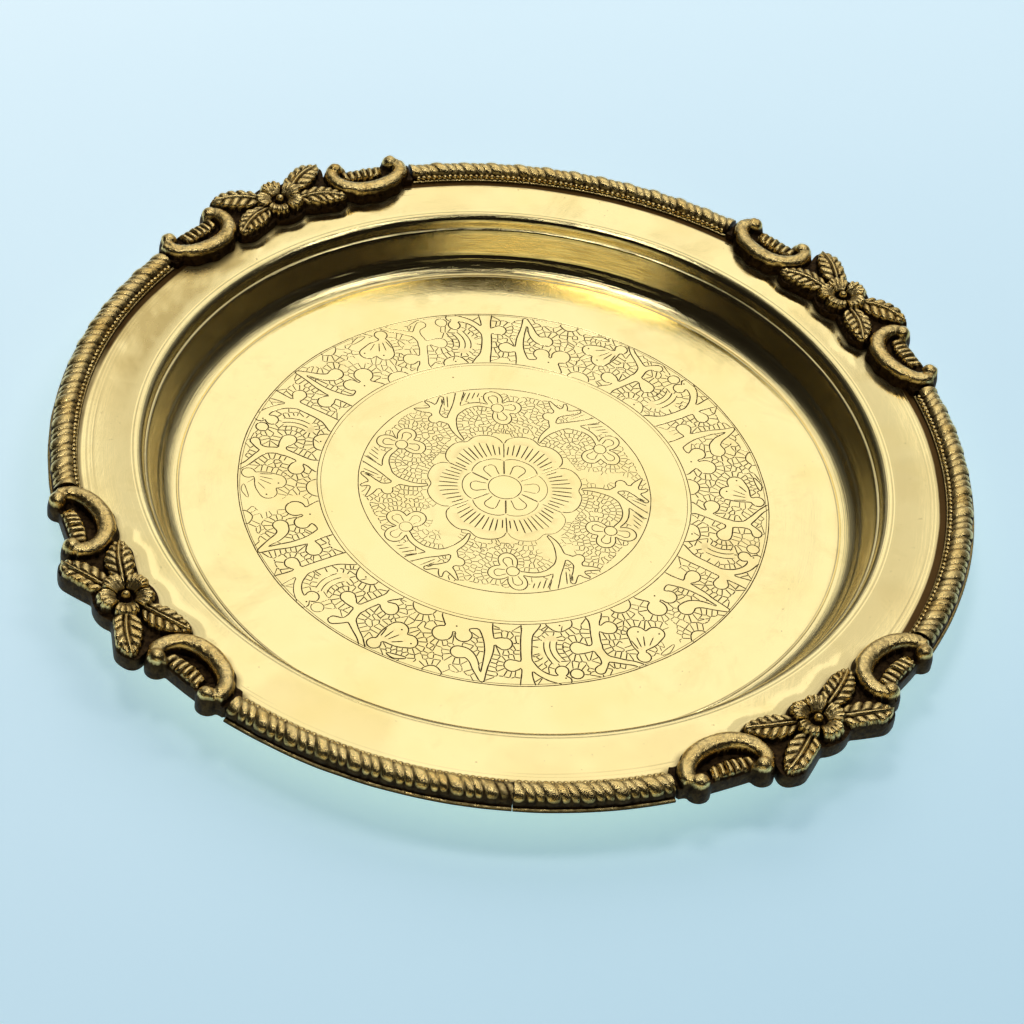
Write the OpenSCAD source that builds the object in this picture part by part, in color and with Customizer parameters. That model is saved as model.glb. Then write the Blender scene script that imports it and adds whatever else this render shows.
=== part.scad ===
// Round brass serving tray: a spun sheet pan with a cast border of
// alternating floral cartouches and gadroon mouldings, soft-soldered to its
// rim.  Millimetres, +Z up, origin at the centre of the underside of the well.

/* [Pan] */
// Radius of the flat well floor
well_r = 99; // [96:0.5:100]
// Thickness of the spun sheet
sheet_t = 1.0; // [0.8:0.1:1.2]
// Height of the top of the rim above the table
rim_z = 17.4; // [16.6:0.2:19]
// Radius of the crease where the shoulder turns into the rim
rim_in_r = 112.4; // [112.2:0.1:113]
// Radius of the cut edge of the sheet, under the border
rim_out_r = 134; // [133:0.5:134]

/* [Border] */
// Inner radius of the gadroon moulding, where it meets the rim
border_in_r = 128.4; // [128:0.1:128.8]
// Radius of the centre line of the gadroon ribs
gadroon_r = 132.3; // [132:0.1:132.6]
// Outer radius of the plain lip below the ribs
lip_r = 137.2; // [136.8:0.1:138]
// How far the plain lip hangs below the top of the rim
lip_drop = 1.8; // [1.4:0.1:2.2]
// Width of the wide rib of each gadroon group, in degrees
wide_rib = 1.15; // [1.0:0.05:1.2]
// Width of the narrow ribs of each gadroon group, in degrees
narrow_rib = 0.6; // [0.5:0.05:0.7]
// Height of the ribs above the moulding
rib_h = 1.05; // [0.8:0.05:1.2]
// Angle taken up by one gadroon group, a wide rib and two narrow ones
pitch_a = 3.9; // [3.8:0.05:4.0]
// Gap at each butt joint between two castings, in degrees
butt_a = 0.2; // [0.1:0.05:0.3]

/* [Cartouches] */
// Half angle from the front centre line to a front cartouche
front_half_a = 47.0; // [46.5:0.1:48]
// Half angle from the back centre line to a back cartouche
back_half_a = 44.4; // [43.5:0.1:45]
// Half angle taken up by one cartouche
cart_half_a = 20.5; // [20.3:0.1:20.7]
// Angle of the butt joint between the two front gadroon lengths
front_joint_a = -82.1; // [-86:0.5:-78]
// Radius of the tube of the C-scrolls
scroll_tube = 2.3; // [2:0.1:2.5]
// Reach of each flower petal from the flower's centre
petal_reach = 8.6; // [8:0.1:9]

/* [Hidden] */
$fn = 96;

brass_sheet = [0.93, 0.79, 0.45];
brass_cast = [0.66, 0.52, 0.27];
solder_grey = [0.62, 0.60, 0.55];

// Azimuth of each cartouche, counter-clockwise from +X
az_fl = -90 - front_half_a;
az_fr = -90 + front_half_a;
az_br = 90 - back_half_a;
az_bl = 90 + back_half_a;

// First and last azimuth of each gadroon moulding
g_fl = [az_fl + cart_half_a + butt_a, front_joint_a - butt_a / 2];
g_fr = [front_joint_a + butt_a / 2, az_fr - cart_half_a - butt_a];
g_rt = [az_fr + cart_half_a + butt_a, az_br - cart_half_a - butt_a];
g_bk = [az_br + cart_half_a + butt_a, az_bl - cart_half_a - butt_a];
g_lt = [az_bl + cart_half_a + butt_a, az_fl + 360 - cart_half_a - butt_a];

// Points of an arc, for profiles
function arc(cx, cy, r, a0, a1, n) =
    [for (i = [0:n]) let (a = a0 + (a1 - a0) * i / n) [cx + r * cos(a), cy + r * sin(a)]];

// ---- spun pan -----------------------------------------------------------
// Upper face of the sheet from the centre outwards: flat floor, concave
// foot of the wall, steep wall, a proud step, then the rounded shoulder.
fil_r = 6.6;
sh_r = 2.9;
top_line = concat(
    arc(well_r, sheet_t + fil_r, fil_r, -90, -18, 9),
    [[106.3, 8.6]],
    arc(108.2, 9.6, 1.5, 205, 150, 3),
    [[108.7, 13.2], [109.15, 13.35]],
    arc(rim_in_r, rim_z - sh_r, sh_r, 172, 90, 7));

// Lower face: the same line one sheet thickness away
function unit(v) = v / norm(v);
function side(pts, i) =
    let (a = pts[max(i - 1, 0)], b = pts[min(i + 1, len(pts) - 1)], d = unit(b - a))
    [d[1], -d[0]];
under_line = [for (i = [1:len(top_line) - 2]) top_line[i] + sheet_t * side(top_line, i)];

module pan() {
    color(brass_sheet)
    rotate_extrude($fn = 180)
    polygon(concat(
        [[0, 0], [well_r, 0]],
        under_line,
        [[rim_in_r, rim_z - sheet_t], [rim_out_r, rim_z - sheet_t], [rim_out_r, rim_z]],
        [for (i = [len(top_line) - 1:-1:0]) top_line[i]],
        [[0, sheet_t]]));
}

// ---- gadroon mouldings ----------------------------------------------------
seat_r = rim_out_r + 0.1;
lip_z = rim_z - lip_drop;
rib_core = 3.5;
rib_z = rim_z - 0.2;

// Section of the plain moulding that carries the ribs.  It sits flat on the
// rim, has a half-round string of beads along its inner edge, and its outer
// lip hangs past the cut edge of the sheet.
module moulding_section() {
    polygon(concat(
        [[border_in_r, rim_z], [border_in_r, rim_z + 0.6], [129.05, rim_z + 0.8]],
        arc(129.9, rim_z + 0.85, 0.8, 170, 40, 4),
        arc(gadroon_r, rib_z, rib_core, 135, 3, 6),
        [[136.3, rim_z - 0.8], [lip_r - 0.2, rim_z - 0.95], [lip_r, rim_z - 1.2],
         [lip_r - 0.15, lip_z], [seat_r, lip_z], [seat_r, rim_z]]));
}

// One rib: the moulding's rounded section standing proud over a few degrees
module rib(w, h) {
    rotate([0, 0, -w / 2])
    rotate_extrude(angle = w, $fn = 180)
    polygon(concat(
        [[gadroon_r, rim_z - 0.4], [gadroon_r, rim_z + 1.2]],
        arc(gadroon_r, rib_z, rib_core + h, 128 - 3 * h, -14 - 2 * h, 6)));
}

module gadroon(span) {
    n = floor((span[1] - span[0] - 1) / pitch_a);
    a0 = (span[0] + span[1]) / 2 - (n - 1) * pitch_a / 2;
    color(brass_cast)
    union() {
        rotate([0, 0, span[0]])
        rotate_extrude(angle = span[1] - span[0], $fn = 180) moulding_section();
        for (i = [0:n - 1]) {
            rotate([0, 0, a0 + i * pitch_a - 1.1]) rib(wide_rib, rib_h * 0.55);
            rotate([0, 0, a0 + i * pitch_a - 1.1]) rib(wide_rib * 0.55, rib_h);
            rotate([0, 0, a0 + i * pitch_a + 0.25]) rib(narrow_rib, rib_h * 0.7);
            rotate([0, 0, a0 + i * pitch_a + 1.3]) rib(narrow_rib, rib_h * 0.7);
        }
    }
}

// ---- cartouches -------------------------------------------------------------
// Places its children on the border, R from the tray's centre and a degrees
// from the cartouche's own centre line; +X then points outwards.
module at(r, a, z = 0) rotate([0, 0, a]) translate([r, 0, z]) children();

plate_top = rim_z + 2.6;

// Wavy outline of the cast ground
module ground_2d() {
    for (s = [-1, 1]) {
        at2(135.0, 6.4 * s) circle(7.0);      // outer leaf
        at2(130.6, 4.6 * s) circle(9.4);      // between flower and leaves
        at2(129.4, 7.6 * s) circle(8.8);      // inner leaf
        at2(131.0, 11.4 * s) circle(8.2);     // scroll, inner curl
        at2(131.0, 14.4 * s) circle(8.0);     // scroll, outer curl
        at2(132.3, 17.6 * s) circle(6.2);     // end, against the gadroon
    }
    at2(130.6, 0) circle(9.6);                // flower
}
module at2(r, a) rotate(a) translate([r, 0]) children();

// C-scroll, open outwards, with a ball at each end and ribs in its mouth
scr_r = 8.6;
module scroll() {
    zt = plate_top + 1.9;
    translate([0, 0, zt]) rotate([0, 0, 84])
    rotate_extrude(angle = 192, $fn = 64) translate([scr_r, 0]) circle(scroll_tube, $fn = 32);
    for (s = [-1, 1]) translate([1.0, s * scr_r, zt - 0.3]) sphere(2.9, $fn = 32);
    for (i = [-2:2])
        translate([1.2, i * 2.3, plate_top + 0.2]) rotate([0, 90, 0])
        cylinder(r = 1.0, h = 4.6, center = true, $fn = 20);
}

// Pointed leaf: lens outline with an arched top and a midrib
module leaf(l, w, h) {
    rr = (l * l / 4 + w * w / 4) / w;
    intersection() {
        linear_extrude(h + 3)
        intersection() {
            translate([0, rr - w / 2]) circle(rr, $fn = 64);
            translate([0, w / 2 - rr]) circle(rr, $fn = 64);
        }
        translate([0, 0, h - w * 0.9]) rotate([0, 90, 0])
        cylinder(r = w * 0.9, h = l + 2, center = true, $fn = 48);
    }
}

module flower() {
    for (k = [0:4])
        rotate([0, 0, 36 + 72 * k]) translate([petal_reach - 4.1, 0, 0.4]) sphere(4.1, $fn = 40);
    translate([0, 0, 3.2]) sphere(1.7, $fn = 24);
}

module cartouche(az) {
    color(brass_cast)
    rotate([0, 0, az])
    union() {
        difference() {
            translate([0, 0, lip_z]) linear_extrude(plate_top - lip_z) ground_2d();
            translate([0, 0, lip_z - 1]) cylinder(r = seat_r, h = rim_z - lip_z + 1, $fn = 180);
        }
        for (s = [-1, 1]) {
            at(130.4, 13.6 * s) scroll();
            at(137.0, 6.2 * s, plate_top - 0.2) rotate([0, 0, 55 * s]) leaf(12.0, 7.4, 2.6);
            at(125.6, 6.0 * s, plate_top - 0.2) rotate([0, 0, 105 * s]) leaf(12.6, 7.4, 2.9);
        }
        at(130.4, 0, plate_top) flower();
    }
}

// ---- soft solder -------------------------------------------------------------
// Fillet in the corner between the underside of the rim and each casting's lip
module solder_run(a0, a1) {
    rotate([0, 0, a0])
    rotate_extrude(angle = a1 - a0, $fn = 180)
    polygon([[132.0, rim_z - sheet_t], [134.0, rim_z - sheet_t], [134.0, lip_z + 0.1],
             [133.4, lip_z + 0.25]]);
}

module rim_solder() {
    color(solder_grey) {
        for (g = [g_fl, g_fr, g_rt, g_bk, g_lt]) solder_run(g[0] + 0.4, g[1] - 0.4);
        for (a = [az_fl, az_fr, az_br, az_bl])
            solder_run(a - cart_half_a + 0.8, a + cart_half_a - 0.8);
    }
}

pan();
cartouche(az_fl);  // cartouche_front_left
cartouche(az_fr);  // cartouche_front_right
cartouche(az_br);  // cartouche_back_right
cartouche(az_bl);  // cartouche_back_left
gadroon(g_fl);  // gadroon_front_left
gadroon(g_fr);  // gadroon_front_right
gadroon(g_rt);  // gadroon_right
gadroon(g_bk);  // gadroon_back
gadroon(g_lt);  // gadroon_left
rim_solder();
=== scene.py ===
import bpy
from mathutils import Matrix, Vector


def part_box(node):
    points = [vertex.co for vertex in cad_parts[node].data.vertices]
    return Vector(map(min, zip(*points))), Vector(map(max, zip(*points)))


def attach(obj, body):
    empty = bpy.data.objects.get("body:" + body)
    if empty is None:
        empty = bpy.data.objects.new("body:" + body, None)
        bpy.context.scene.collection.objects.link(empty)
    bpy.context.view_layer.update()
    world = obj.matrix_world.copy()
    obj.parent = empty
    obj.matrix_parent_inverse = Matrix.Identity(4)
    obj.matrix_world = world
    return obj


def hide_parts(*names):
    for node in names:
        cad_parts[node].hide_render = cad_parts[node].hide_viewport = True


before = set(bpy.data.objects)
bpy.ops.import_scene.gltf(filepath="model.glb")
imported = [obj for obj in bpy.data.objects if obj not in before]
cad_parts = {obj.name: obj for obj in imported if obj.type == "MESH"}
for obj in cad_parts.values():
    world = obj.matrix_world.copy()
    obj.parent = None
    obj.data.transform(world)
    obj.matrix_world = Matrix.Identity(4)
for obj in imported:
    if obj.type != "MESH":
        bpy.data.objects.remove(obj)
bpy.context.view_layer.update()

import math

import bpy
import numpy as np
from mathutils import Matrix, Vector, geometry

MM = 0.001

# ---------------------------------------------------------------- sizes, mm
# The same sizes as the CAD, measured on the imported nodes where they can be.
pan_lo, pan_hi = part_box("pan")
RIM_R = pan_hi[0] / MM            # cut edge of the sheet, under the border
RIM_Z = pan_hi[2] / MM            # top of the rim
gad_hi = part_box("gadroon_right")[1]
gad_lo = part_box("gadroon_right")[0]
LIP_R = gad_hi[0] / MM - 0.06     # plain lip of the gadroon moulding
LIP_Z = gad_lo[2] / MM            # its lowest edge
SHEET = 1.0
WELL_R = 99.0
SEAT_R = RIM_R + 0.1
FRONT_HALF, BACK_HALF, CART_HALF, BUTT = 47.0, 44.4, 20.5, 0.2
FRONT_JOINT = -82.1
AZ = {"cartouche_front_left": -90 - FRONT_HALF, "cartouche_front_right": -90 + FRONT_HALF,
      "cartouche_back_right": 90 - BACK_HALF, "cartouche_back_left": 90 + BACK_HALF}
SPAN = {
    "gadroon_front_left": (AZ["cartouche_front_left"] + CART_HALF + BUTT, FRONT_JOINT - BUTT / 2),
    "gadroon_front_right": (FRONT_JOINT + BUTT / 2, AZ["cartouche_front_right"] - CART_HALF - BUTT),
    "gadroon_right": (AZ["cartouche_front_right"] + CART_HALF + BUTT, AZ["cartouche_back_right"] - CART_HALF - BUTT),
    "gadroon_back": (AZ["cartouche_back_right"] + CART_HALF + BUTT, AZ["cartouche_back_left"] - CART_HALF - BUTT),
    "gadroon_left": (AZ["cartouche_back_left"] + CART_HALF + BUTT, AZ["cartouche_front_left"] + 360 - CART_HALF - BUTT),
}

# ---------------------------------------------------------------- helpers
_lat = {}


def vnoise(x, y, seed):
    """Smooth value noise in 0..1, the same every run."""
    if seed not in _lat:
        _lat[seed] = np.random.default_rng(seed).random((128, 128))
    g = _lat[seed]
    xi = np.floor(x).astype(int); yi = np.floor(y).astype(int)
    fx = x - xi; fy = y - yi
    fx = fx * fx * (3 - 2 * fx); fy = fy * fy * (3 - 2 * fy)
    a = g[xi % 128, yi % 128]; b = g[(xi + 1) % 128, yi % 128]
    c = g[xi % 128, (yi + 1) % 128]; d = g[(xi + 1) % 128, (yi + 1) % 128]
    return (a * (1 - fx) + b * fx) * (1 - fy) + (c * (1 - fx) + d * fx) * fy


def fbm(x, y, seed, octaves=3):
    out = 0.0; amp = 0.5; f = 1.0
    for k in range(octaves):
        out = out + amp * (vnoise(x * f, y * f, seed + k) - 0.5)
        amp *= 0.5; f *= 2.03
    return out


def smooth(e0, e1, x):
    t = np.clip((x - e0) / (e1 - e0), 0, 1)
    return t * t * (3 - 2 * t)


def smax(a, b, k):
    h = np.clip(0.5 + 0.5 * (a - b) / k, 0, 1)
    return b * (1 - h) + a * h + k * h * (1 - h)


def smin(a, b, k):
    return -smax(-a, -b, k)


def new_mesh(name, verts, faces, attrs=None, mats=(), face_mat=None, sharp=None):
    """verts in mm (N x 3); faces is a list of integer arrays, each K x 3 or K x 4."""
    me = bpy.data.meshes.new(name)
    v = np.asarray(verts, dtype=np.float64) * MM
    me.vertices.add(len(v))
    me.vertices.foreach_set("co", v.astype(np.float32).ravel())
    loops = np.concatenate([f.ravel() for f in faces]).astype(np.int32)
    totals = np.concatenate([np.full(len(f), f.shape[1], dtype=np.int32) for f in faces])
    starts = np.concatenate([[0], np.cumsum(totals)[:-1]]).astype(np.int32)
    me.loops.add(len(loops))
    me.loops.foreach_set("vertex_index", loops)
    me.polygons.add(len(totals))
    me.polygons.foreach_set("loop_start", starts)
    me.polygons.foreach_set("loop_total", totals)
    for m in mats:
        me.materials.append(m)
    if face_mat is not None:
        me.polygons.foreach_set("material_index", np.asarray(face_mat, dtype=np.int32))
    me.polygons.foreach_set("use_smooth", np.ones(len(totals), dtype=bool))
    me.update(calc_edges=True)
    for key, val in (attrs or {}).items():
        a = me.attributes.new(key, "FLOAT", "POINT")
        a.data.foreach_set("value", np.asarray(val, dtype=np.float32))
    me.validate()
    ob = bpy.data.objects.new(name, me)
    bpy.context.scene.collection.objects.link(ob)
    if sharp is not None:
        me.set_sharp_from_angle(angle=math.radians(sharp))
    return ob


def quads(nr, nc, wrap_c=False, base=0):
    """Quads of an nr x nc grid of vertices."""
    r = np.arange(nr - 1)[:, None]
    c = np.arange(nc if wrap_c else nc - 1)[None, :]
    c1 = (c + 1) % nc
    a = r * nc + c; b = r * nc + c1; d = (r + 1) * nc + c; e = (r + 1) * nc + c1
    return (np.stack([a, b, e, d], -1).reshape(-1, 4) + base)


def resample(pts, step):
    pts = np.asarray(pts, float)
    seg = np.hypot(*(np.diff(pts, axis=0).T))
    s = np.concatenate([[0], np.cumsum(seg)])
    n = max(2, int(round(s[-1] / step)) + 1)
    t = np.linspace(0, s[-1], n)
    return np.stack([np.interp(t, s, pts[:, k]) for k in range(pts.shape[1])], -1)


def arc(cx, cy, r, a0, a1, n):
    a = np.radians(np.linspace(a0, a1, n + 1))
    return [(cx + r * math.cos(t), cy + r * math.sin(t)) for t in a]


def catmull(P, n=8):
    P = np.asarray(P, float)
    Q = np.vstack([2 * P[0] - P[1], P, 2 * P[-1] - P[-2]])
    out = []
    for i in range(1, len(Q) - 2):
        p0, p1, p2, p3 = Q[i - 1], Q[i], Q[i + 1], Q[i + 2]
        for t in np.linspace(0, 1, n, endpoint=False):
            out.append(0.5 * ((2 * p1) + (-p0 + p2) * t + (2 * p0 - 5 * p1 + 4 * p2 - p3) * t * t + (-p0 + 3 * p1 - 3 * p2 + p3) * t ** 3))
    out.append(Q[-2])
    return np.array(out)


# ---------------------------------------------------------------- materials
def nt(name):
    m = bpy.data.materials.new(name)
    m.use_nodes = True
    t = m.node_tree
    for n in list(t.nodes):
        t.nodes.remove(n)
    out = t.nodes.new("ShaderNodeOutputMaterial")
    bs = t.nodes.new("ShaderNodeBsdfPrincipled")
    t.links.new(bs.outputs[0], out.inputs[0])
    return m, t, bs


def tex_noise(t, vec, scale, detail=4.0, rough=0.55, dist=0.0):
    n = t.nodes.new("ShaderNodeTexNoise")
    n.inputs["Scale"].default_value = scale
    n.inputs["Detail"].default_value = detail
    n.inputs["Roughness"].default_value = rough
    n.inputs["Distortion"].default_value = dist
    t.links.new(vec, n.inputs["Vector"])
    return n.outputs["Fac"]


def ramp(t, fac, stops):
    r = t.nodes.new("ShaderNodeValToRGB")
    t.links.new(fac, r.inputs[0])
    e = r.color_ramp.elements
    while len(e) < len(stops):
        e.new(0.5)
    for k, (p, c) in enumerate(stops):
        e[k].position = p
        e[k].color = (*c, 1.0) if len(c) == 3 else c
    return r.outputs["Color"]


def mathn(t, op, a, b=None, clamp=False):
    n = t.nodes.new("ShaderNodeMath")
    n.operation = op
    n.use_clamp = clamp
    for k, x in enumerate([a, b]):
        if x is None:
            continue
        if isinstance(x, (int, float)):
            n.inputs[k].default_value = x
        else:
            t.links.new(x, n.inputs[k])
    return n.outputs[0]


def mixc(t, fac, a, b):
    n = t.nodes.new("ShaderNodeMix")
    n.data_type = "RGBA"
    for sock, x in ((n.inputs[0], fac), (n.inputs[6], a), (n.inputs[7], b)):
        if isinstance(x, (int, float)):
            sock.default_value = x
        elif isinstance(x, tuple):
            sock.default_value = (*x, 1.0)
        else:
            t.links.new(x, sock)
    return n.outputs[2]


def maprange(t, x, a, b, c, d):
    n = t.nodes.new("ShaderNodeMapRange")
    t.links.new(x, n.inputs[0])
    for k, val in zip((1, 2, 3, 4), (a, b, c, d)):
        n.inputs[k].default_value = val
    return n.outputs[0]


def attr(t, name):
    n = t.nodes.new("ShaderNodeAttribute")
    n.attribute_name = name
    return n.outputs["Fac"]


def bump(t, height, strength, dist, prev=None):
    n = t.nodes.new("ShaderNodeBump")
    n.inputs["Strength"].default_value = strength
    n.inputs["Distance"].default_value = dist
    t.links.new(height, n.inputs["Height"])
    if prev is not None:
        t.links.new(prev, n.inputs["Normal"])
    return n.outputs[0]


def scaled(t, vec, s):
    n = t.nodes.new("ShaderNodeMapping")
    n.inputs["Scale"].default_value = s
    t.links.new(vec, n.inputs["Vector"])
    return n.outputs[0]


def polished_brass():
    m, t, bs = nt("polished_brass")
    co = t.nodes.new("ShaderNodeTexCoord").outputs["Object"]
    bs.inputs["Metallic"].default_value = 1.0
    big = tex_noise(t, co, 22, 3)
    fine = tex_noise(t, co, 260, 5, 0.6)
    speck = tex_noise(t, co, 900, 2, 0.5)
    base = ramp(t, big, [(0.30, (0.915, 0.745, 0.33)), (0.50, (0.955, 0.805, 0.40)), (0.75, (0.945, 0.775, 0.37))])
    # olive tarnish blooms, fingermarks and tiny dark specks
    bloom = maprange(t, tex_noise(t, co, 40, 5, 0.68, 0.8), 0.54, 0.76, 0.0, 0.34)
    col = mixc(t, bloom, base, (0.70, 0.55, 0.21))
    dots = maprange(t, speck, 0.735, 0.775, 0.0, 0.55)
    col = mixc(t, dots, col, (0.35, 0.22, 0.10))
    vor = t.nodes.new("ShaderNodeTexVoronoi")
    vor.inputs["Scale"].default_value = 120.0
    t.links.new(co, vor.inputs["Vector"])
    pick = t.nodes.new("ShaderNodeSeparateColor")
    t.links.new(vor.outputs["Color"], pick.inputs[0])
    pit = mathn(t, "MULTIPLY", maprange(t, vor.outputs["Distance"], 0.045, 0.030, 0.0, 1.0), maprange(t, pick.outputs[0], 0.86, 0.90, 0.0, 0.85), True)
    col = mixc(t, pit, col, (0.20, 0.11, 0.045))
    dl = attr(t, "dull")
    col = mixc(t, mathn(t, "MULTIPLY", dl, 0.75), col, (0.58, 0.43, 0.155))
    # the chased lines hold old polish and go brown, worn lighter here and there; the same line attribute also carries
    # painted shade and reflection along the castings on the rim
    dark = attr(t, "line")
    wear = maprange(t, tex_noise(t, co, 38, 3), 0.30, 0.62, 0.55, 1.0)
    lf = mathn(t, "MULTIPLY", maprange(t, dark, 0.04, 0.40, 0.0, 1.0), wear)
    lf = mathn(t, "ADD", lf, maprange(t, dark, 0.42, 0.58, 0.0, 0.5), True)
    col = mixc(t, lf, col, (0.105, 0.056, 0.016))
    t.links.new(col, bs.inputs["Base Color"])
    ro = maprange(t, fine, 0.3, 0.75, 0.075, 0.15)
    ro = mathn(t, "ADD", ro, mathn(t, "MULTIPLY", lf, 0.35))
    ro = mathn(t, "ADD", ro, mathn(t, "MULTIPLY", dl, 0.16))
    ro = mathn(t, "ADD", ro, mathn(t, "MULTIPLY", bloom, 0.30), True)
    t.links.new(ro, bs.inputs["Roughness"])
    # marks of the spinning tool run round the tray: noise read along the radius and the height only
    flat = t.nodes.new("ShaderNodeVectorMath"); flat.operation = "MULTIPLY"
    flat.inputs[1].default_value = (1.0, 1.0, 0.0)
    t.links.new(co, flat.inputs[0])
    rad = t.nodes.new("ShaderNodeVectorMath"); rad.operation = "LENGTH"
    t.links.new(flat.outputs[0], rad.inputs[0])
    sx = t.nodes.new("ShaderNodeSeparateXYZ"); t.links.new(co, sx.inputs[0])
    ang = mathn(t, "ARCTAN2", sx.outputs["Y"], sx.outputs["X"])
    cmb = t.nodes.new("ShaderNodeCombineXYZ")
    t.links.new(rad.outputs["Value"], cmb.inputs[0])
    t.links.new(sx.outputs["Z"], cmb.inputs[1])
    t.links.new(mathn(t, "MULTIPLY", ang, 0.0006), cmb.inputs[2])
    spin = tex_noise(t, cmb.outputs[0], 2600, 3, 0.7)
    # strong on the wall, where the tool left it, weak where it was buffed
    wall = mathn(t, "MULTIPLY", maprange(t, rad.outputs["Value"], 0.0985, 0.1005, 0.0, 1.0), maprange(t, rad.outputs["Value"], 0.1120, 0.1135, 1.0, 0.0), True)
    amt = mathn(t, "ADD", mathn(t, "MULTIPLY", wall, 0.85), 0.15)
    scr_a = tex_noise(t, scaled(t, co, (1.0, 0.05, 1.0)), 900, 3, 0.7)
    scr_b = tex_noise(t, scaled(t, co, (0.06, 1.0, 1.0)), 800, 3, 0.7)
    h = mathn(t, "ADD", mathn(t, "MULTIPLY", scr_a, 0.5), mathn(t, "MULTIPLY", scr_b, 0.5))
    n1 = bump(t, h, 0.05, 0.0004)
    n2 = bump(t, fine, 0.06, 0.0005, n1)
    n3 = bump(t, mathn(t, "MULTIPLY", spin, amt), 0.42, 0.00018, n2)
    t.links.new(n3, bs.inputs["Normal"])
    return m


def cast_brass():
    m, t, bs = nt("cast_brass")
    co = t.nodes.new("ShaderNodeTexCoord").outputs["Object"]
    # this attribute holds dark patina in the hollows and painted shade on the flanks, the beads' undersides and the
    # ribs' outer side
    patina_and_shade = attr(t, "patina_and_shade")
    n1 = tex_noise(t, co, 620, 5, 0.68)
    n2 = tex_noise(t, co, 95, 3, 0.55)
    n3 = tex_noise(t, co, 1900, 3, 0.6)
    k = mathn(t, "ADD", patina_and_shade, mathn(t, "MULTIPLY", mathn(t, "SUBTRACT", n1, 0.5), 0.85))
    k = mathn(t, "ADD", k, mathn(t, "MULTIPLY", mathn(t, "SUBTRACT", n2, 0.5), 0.45))
    # painted shade: the steep flanks are made darker by how far their normals tip from upright
    nz = t.nodes.new("ShaderNodeSeparateXYZ")
    t.links.new(t.nodes.new("ShaderNodeTexCoord").outputs["Normal"], nz.inputs[0])
    k = mathn(t, "ADD", k, maprange(t, nz.outputs["Z"], 0.10, 0.52, 0.55, 0.0))
    f = maprange(t, k, 0.27, 0.69, 0.0, 1.0)
    hi = ramp(t, n2, [(0.3, (0.74, 0.50, 0.155)), (0.55, (0.95, 0.72, 0.30)), (0.8, (0.82, 0.58, 0.19))])
    lo = ramp(t, n1, [(0.38, (0.024, 0.013, 0.007)), (0.66, (0.095, 0.056, 0.022))])
    col = mixc(t, f, hi, lo)
    t.links.new(col, bs.inputs["Base Color"])
    bs.inputs["Metallic"].default_value = 1.0
    ro = maprange(t, f, 0.0, 1.0, 0.21, 0.55)
    ro = mathn(t, "ADD", ro, mathn(t, "MULTIPLY", mathn(t, "SUBTRACT", n1, 0.5), 0.30), True)
    t.links.new(ro, bs.inputs["Roughness"])
    b1 = bump(t, n1, 0.55, 0.00045)
    b2 = bump(t, n3, 0.35, 0.00010, b1)
    t.links.new(b2, bs.inputs["Normal"])
    return m


def solder_mat():
    m, t, bs = nt("soft_solder")
    co = t.nodes.new("ShaderNodeTexCoord").outputs["Object"]
    n1 = tex_noise(t, co, 300, 4, 0.6)
    col = ramp(t, n1, [(0.3, (0.26, 0.25, 0.23)), (0.6, (0.46, 0.45, 0.42)), (0.8, (0.36, 0.33, 0.28))])
    t.links.new(col, bs.inputs["Base Color"])
    bs.inputs["Metallic"].default_value = 1.0
    t.links.new(maprange(t, n1, 0.3, 0.8, 0.35, 0.6), bs.inputs["Roughness"])
    t.links.new(bump(t, n1, 0.5, 0.0004), bs.inputs["Normal"])
    return m


def floor_mat():
    m, t, bs = nt("pale_floor_painted_glow")
    co = t.nodes.new("ShaderNodeTexCoord").outputs["Object"]
    n1 = tex_noise(t, co, 9, 3)
    col = ramp(t, n1, [(0.3, (0.78, 0.90, 0.975)), (0.7, (0.80, 0.92, 0.99))])
    t.links.new(col, bs.inputs["Base Color"])
    sp = t.nodes.new("ShaderNodeSeparateXYZ"); t.links.new(co, sp.inputs[0])
    far = mathn(t, "SUBTRACT", mathn(t, "MULTIPLY", sp.outputs["Y"], 0.75), mathn(t, "MULTIPLY", sp.outputs["X"], 0.65))
    # painted light: the floor glows through its emission, paler towards the far left like a pool of studio light
    t.links.new(ramp(t, maprange(t, far, -0.25, 0.65, 0.0, 1.0), [(0.0, (0.205, 0.375, 0.485)), (0.55, (0.42, 0.56, 0.64)), (1.0, (0.68, 0.74, 0.78))]), bs.inputs["Emission Color"])
    bs.inputs["Emission Strength"].default_value = 1.0
    bs.inputs["Roughness"].default_value = 0.9
    bs.inputs["Specular IOR Level"].default_value = 0.15
    return m


MAT_PAN, MAT_CAST, MAT_SOLDER, MAT_FLOOR = polished_brass(), cast_brass(), solder_mat(), floor_mat()

# ---------------------------------------------------------------- pan
# Upper line of the sheet, radius and height
PATT = (-1.91, 0.10)      # the etched pattern sits a little off the spinning centre


def top_profile():
    p = [(93.0, 1.0), (94.5, 1.01), (96.0, 1.05), (97.5, 1.11), (98.9, 1.2), (99.25, 1.17), (99.6, 1.24)]
    p += [q for q in arc(99.0, SHEET + 6.6, 6.6, -82, -29, 13) if q[0] > 99.7]
    p += [(105.02, 4.72), (105.34, 4.98), (105.62, 5.35)]
    p += [(105.62 + (108.32 - 105.62) * k, 5.35 + (12.95 - 5.35) * k + 0.10 * math.sin(math.pi * k)) for k in (0.2, 0.4, 0.6, 0.8, 1.0)]
    p += [(108.62, 13.3), (109.0, 13.45), (109.22, 13.52), (109.36, 13.75)]
    p += arc(112.4, RIM_Z - 2.9, 2.9, 170, 93, 14)
    p += [(112.55, RIM_Z), (112.75, RIM_Z - 0.07), (112.95, RIM_Z)]
    return p


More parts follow.
